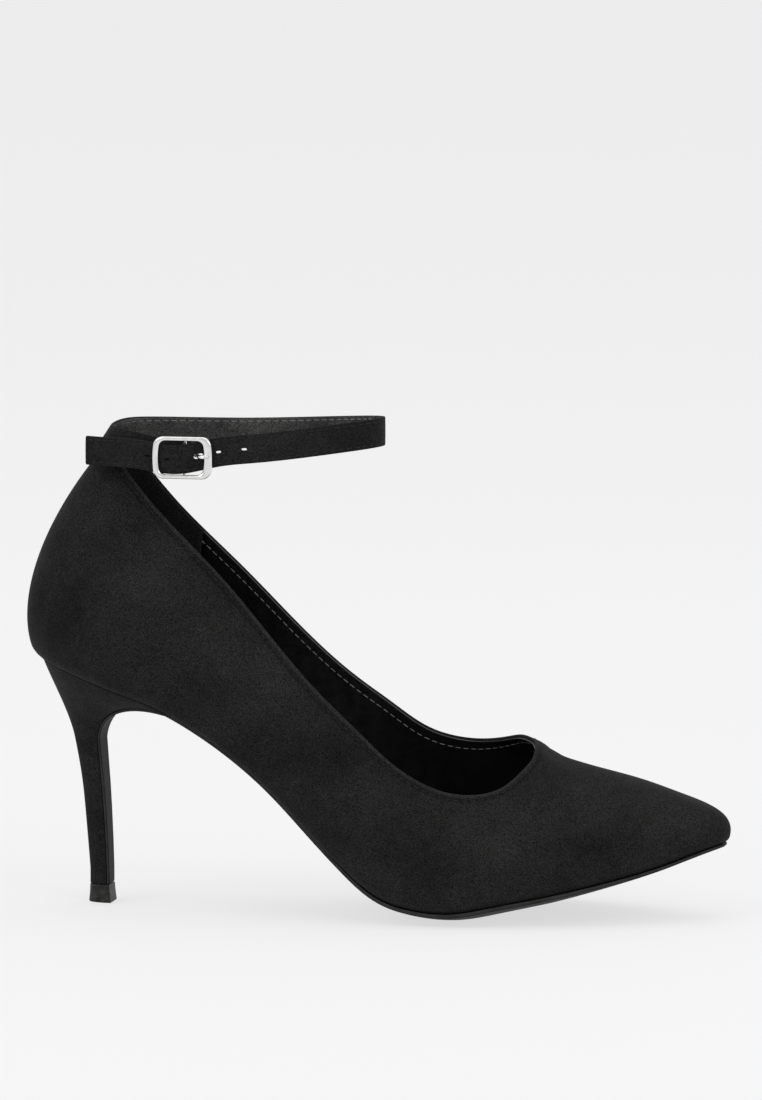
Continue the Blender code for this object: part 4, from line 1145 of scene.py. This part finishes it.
def rounded_window(x0, x1, y0, y1, bulge, radius):
    """Rounded rectangle whose two ends bow out by bulge * (1 - (2 y / height)^2)."""
    quarter = np.linspace(0, np.pi / 2, 13)
    corners = ((x1, y1, -1, -1, 0), (x0, y1, 1, -1, 1), (x0, y0, 1, 1, 2), (x1, y0, -1, 1, 3))
    arcs = [np.stack([x + sx * radius + radius * np.cos(quarter + k * np.pi / 2),
                      y + sy * radius + radius * np.sin(quarter + k * np.pi / 2)], -1)
            for x, y, sx, sy, k in corners]
    outline = []
    for k, arc in enumerate(arcs):
        ahead = arcs[(k + 1) % 4][0]
        share = np.linspace(0, 1, 15)[1:-1, None]
        outline += [arc, arc[-1] + (ahead - arc[-1]) * share]
    points = np.concatenate(outline)
    bow = 1 - (2 * (points[:, 1] - (y0 + y1) / 2) / (y1 - y0)) ** 2
    points[:, 0] += np.sign(points[:, 0] - (x0 + x1) / 2) * bulge * bow
    return points


def rod(name, path, radii, side, sides=20):
    """Round rod along a smooth path: the path is refined by a spline through its points."""
    knots = way_along(path)
    fine = np.linspace(0, knots[-1], 12 * len(path))
    path = spline(knots, path, fine)
    radii = np.interp(fine, knots, radii)
    along = unit(np.gradient(path, axis=0))
    other = unit(np.cross(along, side))
    angle = round_angles(sides)
    ring = np.cos(angle)[None, :, None] * side + np.sin(angle)[None, :, None] * other[:, None]
    rings = path[:, None] + radii[:, None, None] * ring
    tip = path[-1] + along[-1] * radii[-1] * 0.45 + ring[-1] * radii[-1] * 0.6
    return loft(name, np.concatenate([rings, tip[None]]), 60)


def joined(name, *pieces):
    """One object from several closed pieces."""
    work = bmesh.new()
    for piece in pieces:
        work.from_mesh(piece.data)
    work.to_mesh(pieces[0].data)
    work.free()
    pieces[0].name = name
    for piece in pieces[1:]:
        bpy.data.objects.remove(piece)
    return pieces[0]


# %% Buckle and prong
def make_buckle():
    """Crowned frame, joined with its centre bar, which bends back behind the strap."""
    plane, along, out, up, bar_depth = buckle_frame_axes()
    x, y = BUCKLE_LENGTH / 2 - BUCKLE_BULGE, BUCKLE_HEIGHT / 2
    outside = rounded_window(-x, x, -y, y, BUCKLE_BULGE, BUCKLE_CORNER)
    inside = rounded_window(-x + BUCKLE_SIDE_BAR, x - BUCKLE_FRONT_BAR, -y + BUCKLE_RAIL,
                            y - BUCKLE_RAIL, BUCKLE_BULGE, BUCKLE_CORNER * 0.62)
    share = BUCKLE_CROWN[:, 0][:, None, None]
    flat = outside * (1 - share) + inside * share
    depth = BUCKLE_CROWN[:, 1][:, None, None] * BUCKLE_THICK
    rings = plane + flat[..., :1] * along + flat[..., 1:] * up + depth * out
    ring = ring_surface("frame_ring", rings)
    rail, bend = y - BUCKLE_RAIL / 2, 0.0012
    upper_half = [(0, rail - 0.0002), (bar_depth * 0.6, rail - 0.0003), (bar_depth, rail - bend)]
    path = upper_half + [(bar_depth, 0)] + [(d, -h) for d, h in upper_half[::-1]]
    path = np.array([plane + d * out + h * up for d, h in path])
    taper = np.array([0.55, 0.6, 0.8, 1.0, 0.8, 0.6, 0.55])
    bar = rod("centre_bar", path, BAR_RADIUS * taper, along)
    return joined("buckle_frame", ring, bar)


def make_prong():
    """Tapered pin; its ring round the bar is a short tube."""
    plane, along, out, up, bar_depth = buckle_frame_axes()
    hole = outer_layer_at(prong_hole_x())[0]
    bar = plane + bar_depth * out
    bar = bar + float(np.dot(hole - bar, up)) * up
    angle = round_angles(32)
    inner, outer = BAR_RADIUS + GAP * 0.5, BAR_RADIUS + GAP + PRONG_RING_WALL
    round_bar = np.outer(np.cos(angle), along) + np.outer(np.sin(angle), out)
    section = ((inner, -0.9), (inner + 0.0001, -1.0), (outer - 0.0002, -1.0), (outer, -0.75),
               (outer, 0.75), (outer - 0.0002, 1.0), (inner + 0.0001, 1.0), (inner, 0.9))
    rings = np.array([bar + up * h * PRONG_RADIUS * 1.2 + r * round_bar for r, h in section])
    ring = ring_surface("prong_ring", rings)
    hole_along, hole_out = float(np.dot(hole - bar, along)), float(np.dot(hole - bar, out))
    tip_along = BUCKLE_LENGTH / 2 - BUCKLE_FRONT_BAR * 0.35
    rest_out = -bar_depth + BUCKLE_THICK / 2 + GAP + PRONG_RADIUS * 0.8
    start = outer - PRONG_RING_WALL * 0.5
    path = [(start * 0.8, start * 0.35),
            (hole_along - 0.0024, hole_out - STRAP_THICK * 0.5 - GAP - PRONG_RADIUS - 0.0003),
            (hole_along - 0.0003, hole_out - 0.0004), (hole_along + 0.0012, rest_out - 0.0006),
            (hole_along + 0.0026, rest_out), (tip_along, rest_out)]
    path = np.array([bar + a * along + b * out for a, b in path])
    arm = rod("prong_arm", path, PRONG_RADIUS * np.array([0.75, 0.85, 0.95, 1.0, 1.0, 0.72]), up)
    return joined("buckle_prong", ring, arm)


buckle = make_buckle()
prong = make_prong()

# %% [markdown]
# ## Stitches
# A stitch is a small drum with tapered ends, a few dozen faces. Rows of them are laid by
# arrays: every copy is turned into its own frame of along, up and across, and all copies of
# a row become one mesh.

# %% Stitches
STITCH_SHARE = np.array([-1.0, -0.86, -0.45, 0.0, 0.45, 0.86, 1.0]) / 2
STITCH_GIRTH = np.array([0.25, 0.72, 0.98, 1.0, 0.98, 0.72, 0.25])
STITCH_SIDES = 6
RIM_PITCH = 0.0029
RIM_ENDS = 6               # columns left free on either side of the throat's middle
STRAP_PITCH = 0.0030
STRAP_STITCH = (0.0023, 0.00042, 0.00032)      # length, width and height
LOOK = 0.0004              # half the stretch over which a direction is read


def stitch_row(name, centre, along, up, length, width, height):
    """Copies of one stitch: centre + along u length + across v width + up h height."""
    across = np.cross(along, up)
    angle = round_angles(STITCH_SIDES)
    u = np.repeat(STITCH_SHARE, STITCH_SIDES)
    v = (STITCH_GIRTH[:, None] * np.cos(angle)).ravel() / 2
    h = (STITCH_GIRTH[:, None] * np.sin(angle)).ravel() / 2
    points = (centre[:, None] + along[:, None] * (u * length)[:, None]
              + across[:, None] * (v * width)[:, None] + up[:, None] * (h * height)[:, None])
    number = np.arange(len(u)).reshape(-1, STITCH_SIDES)
    quads = grid_faces(number, False, True)
    shift = len(u) * np.arange(len(centre))[:, None, None]
    caps = np.stack([number[0], number[-1, ::-1]])
    return outwards(new_piece(name, points, (quads + shift).reshape(-1, 4),
                              (caps + shift).reshape(-1, STITCH_SIDES)), 0)


def evenly(line, pitch):
    """Places at an even pitch along a line of points, with their directions along it."""
    way = way_along(line)
    stops = np.arange(pitch / 2, way[-1], pitch)
    centre, later, earlier = (np.stack([np.interp(stops + ahead, way, row) for row in line.T], -1)
                              for ahead in (0, LOOK, -LOOK))
    return centre, unit(later - earlier), stops / way[-1]


def squared(up, along):
    """Upward directions, turned square to the ones along."""
    return np.cross(unit(np.cross(along, up)), along)


# %% Rows of stitches
def rim_line(below, depth):
    """Line that runs round the opening at a distance under its edge and a depth in the wall."""
    columns = between(-APEX, APEX)
    down = np.linalg.norm(np.diff(SKIN[columns, ::-1], axis=1), axis=2).cumsum(axis=1)
    row = WALL_FINE - np.array([np.interp(below, d, np.arange(1, WALL_FINE + 1)) for d in down])
    low = np.floor(row).astype(int)
    share = (row - low)[:, None]
    place = SKIN[columns, low] * (1 - share) + SKIN[columns, low + 1] * share
    normal = SKIN_NORMALS[columns, low]
    return place - normal * depth, normal


def rim_stitches(name, below, depth, size):
    """Stitches round the opening, from the outer side over the back to the inner side."""
    line, normal = rim_line(below, depth)
    centre, along, share = evenly(line[RIM_ENDS:-RIM_ENDS], RIM_PITCH)
    place = share * (len(normal) - 2 * RIM_ENDS - 1) + RIM_ENDS
    up = normal[np.round(place).astype(int)]
    return stitch_row(name, centre, along, squared(up, along), *size)


def strap_stitches(name, face):
    """Two rows on one face of the strap, sunk a little into its troughs."""
    middle, _, thick, tall = strap_frame(np.linspace(0.004, 0.997, 900))
    groups = []
    for edge in (1, -1):
        lift = STRAP_THICK / 2 - 0.00006
        line = middle + face * thick * lift + edge * tall * (STRAP_WIDTH / 2 - STITCH_INSET)
        centre, along, place = evenly(line, STRAP_PITCH)
        up = face * thick[np.round(place * (len(line) - 1)).astype(int)]
        groups.append((centre, along, squared(up, along)))
    centre, along, up = (np.concatenate(g) for g in zip(*groups))
    return stitch_row(name, centre, along, up, *STRAP_STITCH)


lining_seam = rim_stitches("lining_stitches", 0.0034, LINING_DEPTH + 0.00002,
                           (0.0021, 0.00040, 0.00030))
edge_seam = rim_stitches("edge_stitches", 0.0018, -0.00002, (0.0019, 0.00030, 0.00020))
strap_seam = strap_stitches("strap_stitches", 1)
strap_lining_seam = strap_stitches("strap_lining_stitches", -1)

# %% [markdown]
# ## Finishes
# Suede is a brushed nap: its fibres lie one way in some places and another way in others, so
# the black shows lighter and darker clouds over a fine grain. It hardly mirrors, but a soft
# sheen lights its rims. A shared group makes the nap; a second group makes the smooth
# finishes: clouds, a fine grain and long scratches, with a roughness that varies.

# %% Node helpers
def node(tree, kind, **settings):
    """Adds a node and sets its options."""
    new = tree.nodes.new("ShaderNode" + kind)
    for key, value in settings.items():
        setattr(new, key, value)
    return new


def feed(tree, target, socket, source):
    """Links a source socket, or sets a plain number."""
    if isinstance(source, (int, float)):
        target.inputs[socket].default_value = source
    else:
        tree.links.new(source, target.inputs[socket])


def noise(tree, place, scale, detail=2.0, roughness=0.5):
    """Cloud of values between 0 and 1; scale counts clouds per metre."""
    cloud = node(tree, "TexNoise")
    feed(tree, cloud, "Vector", place)
    feed(tree, cloud, "Scale", scale)
    feed(tree, cloud, "Detail", detail)
    feed(tree, cloud, "Roughness", roughness)
    return cloud.outputs["Fac"]


def math_node(tree, operation, first, second):
    """One sum, product or difference of two values."""
    new = node(tree, "Math", operation=operation)
    feed(tree, new, 0, first)
    feed(tree, new, 1, second)
    return new.outputs[0]


def weighed(tree, *terms):
    """Sum of value times weight over the terms."""
    total = None
    for value, weight in terms:
        part = value if weight == 1 else math_node(tree, "MULTIPLY", value, weight)
        total = part if total is None else math_node(tree, "ADD", total, part)
    return total


def spread(tree, value, low, high, to_low, to_high):
    """Maps a value from one range to another and holds it there."""
    new = node(tree, "MapRange", clamp=True)
    for socket, source in zip(("Value", "From Min", "From Max", "To Min", "To Max"),
                              (value, low, high, to_low, to_high)):
        feed(tree, new, socket, source)
    return new.outputs[0]


def new_group(name, inputs, outputs):
    """Empty group with named sockets."""
    tree = bpy.data.node_groups.new(name, "ShaderNodeTree")
    for label, kind in inputs:
        tree.interface.new_socket(label, in_out="INPUT", socket_type="NodeSocket" + kind)
    for label, kind in outputs:
        tree.interface.new_socket(label, in_out="OUTPUT", socket_type="NodeSocket" + kind)
    return tree, tree.nodes.new("NodeGroupInput").outputs, tree.nodes.new("NodeGroupOutput")


def mixed(tree, share, first, second, blend="MIX"):
    """Colour between two colours."""
    new = node(tree, "Mix", data_type="RGBA", blend_type=blend)
    feed(tree, new, 0, share)
    tree.links.new(first, new.inputs[6])
    tree.links.new(second, new.inputs[7])
    return new.outputs[2]


# %% Groups for nap and smooth finish
PLACE_AND_TONES = (("Place", "Vector"), ("Dark", "Color"), ("Light", "Color"))
RESULTS = (("Color", "Color"), ("Roughness", "Float"), ("Height", "Float"))


def nap_group():
    """Colour = dark to light by clouds, brushing and the painted highlight and shade along the
    opening's edge, times a fine grain; grain is the height.
    """
    tree, given, out = new_group("suede_nap", PLACE_AND_TONES + (("Brushed_and_rim_light", "Float"),), RESULTS)
    place = given["Place"]
    broad, small = noise(tree, place, 48.0, 3.0, 0.55), noise(tree, place, 230.0, 4.0, 0.65)
    fibre, dust = noise(tree, place, 2300.0, 3.0, 0.7), noise(tree, place, 5200.0, 1.0)
    # the per-point value holds the strokes of the nap and the painted highlight and shade along
    # the opening's edge
    clouds = weighed(tree, (broad, 0.62), (small, 0.38), (given["Brushed_and_rim_light"], 0.20))
    mask = spread(tree, clouds, 0.32, 0.78, 0.0, 1.0)
    colour = mixed(tree, mask, given["Dark"], given["Light"])
    grain = weighed(tree, (fibre, 0.8), (dust, 0.2))
    value = spread(tree, grain, 0.36, 0.64, 0.12, 1.88)
    shade = node(tree, "HueSaturation")
    tree.links.new(colour, shade.inputs["Color"])
    tree.links.new(value, shade.inputs["Value"])
    tree.links.new(shade.outputs[0], out.inputs["Color"])
    tree.links.new(spread(tree, fibre, 0.3, 0.7, 1.0, 0.86), out.inputs["Roughness"])
    tree.links.new(weighed(tree, (grain, 1), (small, 0.8)), out.inputs["Height"])
    return tree


def finish_group():
    """Colour by clouds and speckle; roughness between two ends; grain and scratches as height."""
    own = (("Scale", "Float"), ("Smooth", "Float"), ("Rough", "Float"))
    tree, given, out = new_group("smooth_finish", PLACE_AND_TONES + own, RESULTS)
    place = given["Place"]
    clouds = noise(tree, place, given["Scale"], 4.0, 0.6)
    fine = noise(tree, place, math_node(tree, "MULTIPLY", given["Scale"], 9.0), 3.0, 0.6)
    stretch = node(tree, "Mapping")
    stretch.inputs["Scale"].default_value = (1.0, 14.0, 22.0)
    stretch.inputs["Rotation"].default_value = (0.2, 0.5, 0.3)
    tree.links.new(place, stretch.inputs["Vector"])
    lines = noise(tree, stretch.outputs[0], given["Scale"], 2.0)
    scratch = spread(tree, lines, 0.62, 0.72, 0.0, 1.0)
    mask = spread(tree, weighed(tree, (clouds, 0.7), (fine, 0.3)), 0.35, 0.65, 0.0, 1.0)
    tree.links.new(mixed(tree, mask, given["Dark"], given["Light"]), out.inputs["Color"])
    wear = weighed(tree, (scratch, 0.35), (mask, 0.65))
    rough = spread(tree, wear, 0.0, 1.0, given["Smooth"], given["Rough"])
    tree.links.new(rough, out.inputs["Roughness"])
    tree.links.new(weighed(tree, (fine, 1), (scratch, -0.5)), out.inputs["Height"])
    return tree


NAP, FINISH = nap_group(), finish_group()
print("groups:", NAP.name, FINISH.name)


# %% Materials round the groups
def paint(name, group, dark, light, bump, values=(), shader_values=()):
    """Material round one group: colour, roughness and bump from it, the rest plain numbers."""
    new = bpy.data.materials.new(name)
    new.use_nodes = True
    tree = new.node_tree
    shader = tree.nodes["Principled BSDF"]
    place = node(tree, "TexCoord")
    body = node(tree, "Group", node_tree=group)
    tree.links.new(place.outputs["Object"], body.inputs["Place"])
    set_values(body, (("Dark", (*dark, 1)), ("Light", (*light, 1))))
    set_values(body, values)
    if group == NAP:
        # the attribute holds the stroked nap and the painted highlight and shade along the
        # opening's edge
        brushed_and_rim_light = node(tree, "Attribute", attribute_name="brushed_and_rim_light")
        tree.links.new(brushed_and_rim_light.outputs["Fac"], body.inputs["Brushed_and_rim_light"])
    relief = node(tree, "Bump")
    set_values(relief, (("Distance", bump), ("Strength", 1.0)))
    tree.links.new(body.outputs["Height"], relief.inputs["Height"])
    tree.links.new(relief.outputs[0], shader.inputs["Normal"])
    tree.links.new(body.outputs["Color"], shader.inputs["Base Color"])
    tree.links.new(body.outputs["Roughness"], shader.inputs["Roughness"])
    set_values(shader, shader_values)
    return new


def soft(name, dark, light, bump):
    """Material with the nap of suede."""
    return paint(name, NAP, dark, light, bump, (), SUEDE_LOOK)


def smooth(name, dark, light, bump, clouds, low, high, look):
    """Material with the smooth finish; low and high are the ends of its roughness."""
    own = (("Scale", clouds), ("Smooth", low), ("Rough", high))
    return paint(name, FINISH, dark, light, bump, own, (look,))


def shine(value):
    """How strongly a finish mirrors from in front."""
    return "Specular IOR Level", value


# %% Finishes of the shoe
SUEDE_LOOK = (("Specular IOR Level", 0.05), ("Sheen Weight", 0.04), ("Sheen Roughness", 0.45))
SUEDE = soft("black_suede", (0.0080, 0.0079, 0.0078), (0.0200, 0.0199, 0.0197), 0.00013)
GRIP = soft("grip_suede", (0.010,) * 3, (0.020,) * 3, 0.00010)
SMOOTH = smooth("smooth_lining", (0.003,) * 3, (0.006,) * 3, 0.00003,
                240.0, 0.28, 0.44, shine(0.6))
SOCK = smooth("sock_lining", (0.004,) * 3, (0.008,) * 3, 0.00003,
              200.0, 0.38, 0.58, shine(0.30))
BAND = soft("strap_lining", (0.022,) * 3, (0.078, 0.078, 0.076), 0.00016)
SOLE = smooth("grey_outsole", (0.019, 0.019, 0.0185), (0.036, 0.0355, 0.035), 0.00003,
              150.0, 0.55, 0.78, shine(0.05))
LIFT = smooth("grey_top_lift", (0.006, 0.006, 0.0058), (0.036, 0.036, 0.035), 0.00002,
              420.0, 0.36, 0.54, shine(0.10))
SILVER = smooth("polished_silver", (0.70,) * 3, (0.84, 0.84, 0.83), 0.000004,
                520.0, 0.09, 0.22, ("Metallic", 1.0))
THREAD = smooth("grey_thread", (0.08,) * 3, (0.22,) * 3, 0.00003,
                1500.0, 0.4, 0.6, shine(0.4))
DARK_THREAD = smooth("black_thread", (0.010,) * 3, (0.030,) * 3, 0.00003,
                     1500.0, 0.6, 0.8, shine(0.1))
print("finishes:", ", ".join(sorted(m.name for m in bpy.data.materials if m.users == 0)))

# %% [markdown]
# The nap of the upper has been stroked here and there. These places are listed, in
# millimetres: x, z, reach along x, reach along z, strength. Negative strength is darker.

# %% Brushed places
BRUSHED = (
    (153, 33, 17, 12, 0.9), (200, 35, 12, 6, 0.8), (60, 92, 26, 14, 0.7), (20, 118, 16, 14, 0.6),
    (112, 44, 14, 9, 0.5), (176, 28, 10, 5, -0.7), (-14, 104, 12, 12, -0.8),
    (70, 56, 20, 10, -0.6), (4, 142, 10, 10, 0.4), (130, 22, 12, 6, -0.4), (188, 42, 8, 5, 0.4),
)


def painted_rim_highlight_and_shade(place):
    """Painted highlight on the folded edge, painted shade just under it; d millimetres from the
    edge.

    1.7 exp(-(d / 0.5)^2) - 1.5 exp(-((d - 1.7) / 0.6)^2)
    """
    edge = (SKIN[RIM, -1] / MM).astype(np.float32)
    square = (place ** 2).sum(axis=1)[:, None] + (edge ** 2).sum(axis=1) - 2 * place @ edge.T
    away = np.sqrt(np.maximum(square.min(axis=1), 0))
    return 1.7 * np.exp(-(away / 0.5) ** 2) - 1.5 * np.exp(-((away - 1.7) / 0.6) ** 2)


def brush_and_paint_rim(obj):
    """Painted highlight and shade along the opening's edge plus soft bells in x and z, kept as a
    value at each point.
    """
    count = len(obj.data.vertices)
    place = np.empty(count * 3, np.float32)
    obj.data.vertices.foreach_get("co", place)
    place = place.reshape(-1, 3) / MM
    # painted highlight on the folded edge and painted shade just under it
    total = painted_rim_highlight_and_shade(place)
    for x, z, reach_x, reach_z, strength in BRUSHED:
        bell = ((place[:, 0] - x) / reach_x) ** 2 + ((place[:, 2] - z) / reach_z) ** 2
        total += strength * np.exp(-bell)
    obj.data.attributes.new("brushed_and_rim_light", "FLOAT", "POINT").data.foreach_set("value", total)


brush_and_paint_rim(upper)
DRESSED = (
    # piece, finish, solids that it stands for, slot
    (upper, SUEDE, ("upper",), "suede"),
    (grip, GRIP, ("upper",)),
    (lining, SMOOTH, ("upper",)),
    (insole, SOCK, ("insole",), "sock"),
    (outsole, SOLE, ("outsole",), "outsole"),
    (heel, SUEDE, ("heel",), "suede"),
    (top_lift, LIFT, ("top_lift",), "top_lift"),
    (strap, SUEDE, ("ankle_strap",), "suede"),
    (buckle, SILVER, ("buckle_frame",), "silver"),
    (prong, SILVER, ("buckle_prong",), "silver"),
    (strap_lining, BAND, ("ankle_strap",)),
    (lining_seam, THREAD),
    (strap_lining_seam, THREAD),
    (strap_seam, DARK_THREAD),
    (edge_seam, DARK_THREAD),
)
for row in DRESSED:
    finish_piece(*row)
print(len(DRESSED), "pieces dressed")

# %% Sizes of both models
BOXES = {"cad": CAD_BOX, "scene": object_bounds()}
BOXES = {name: [[float(v) for v in corner] for corner in box] for name, box in BOXES.items()}
print(BOXES)
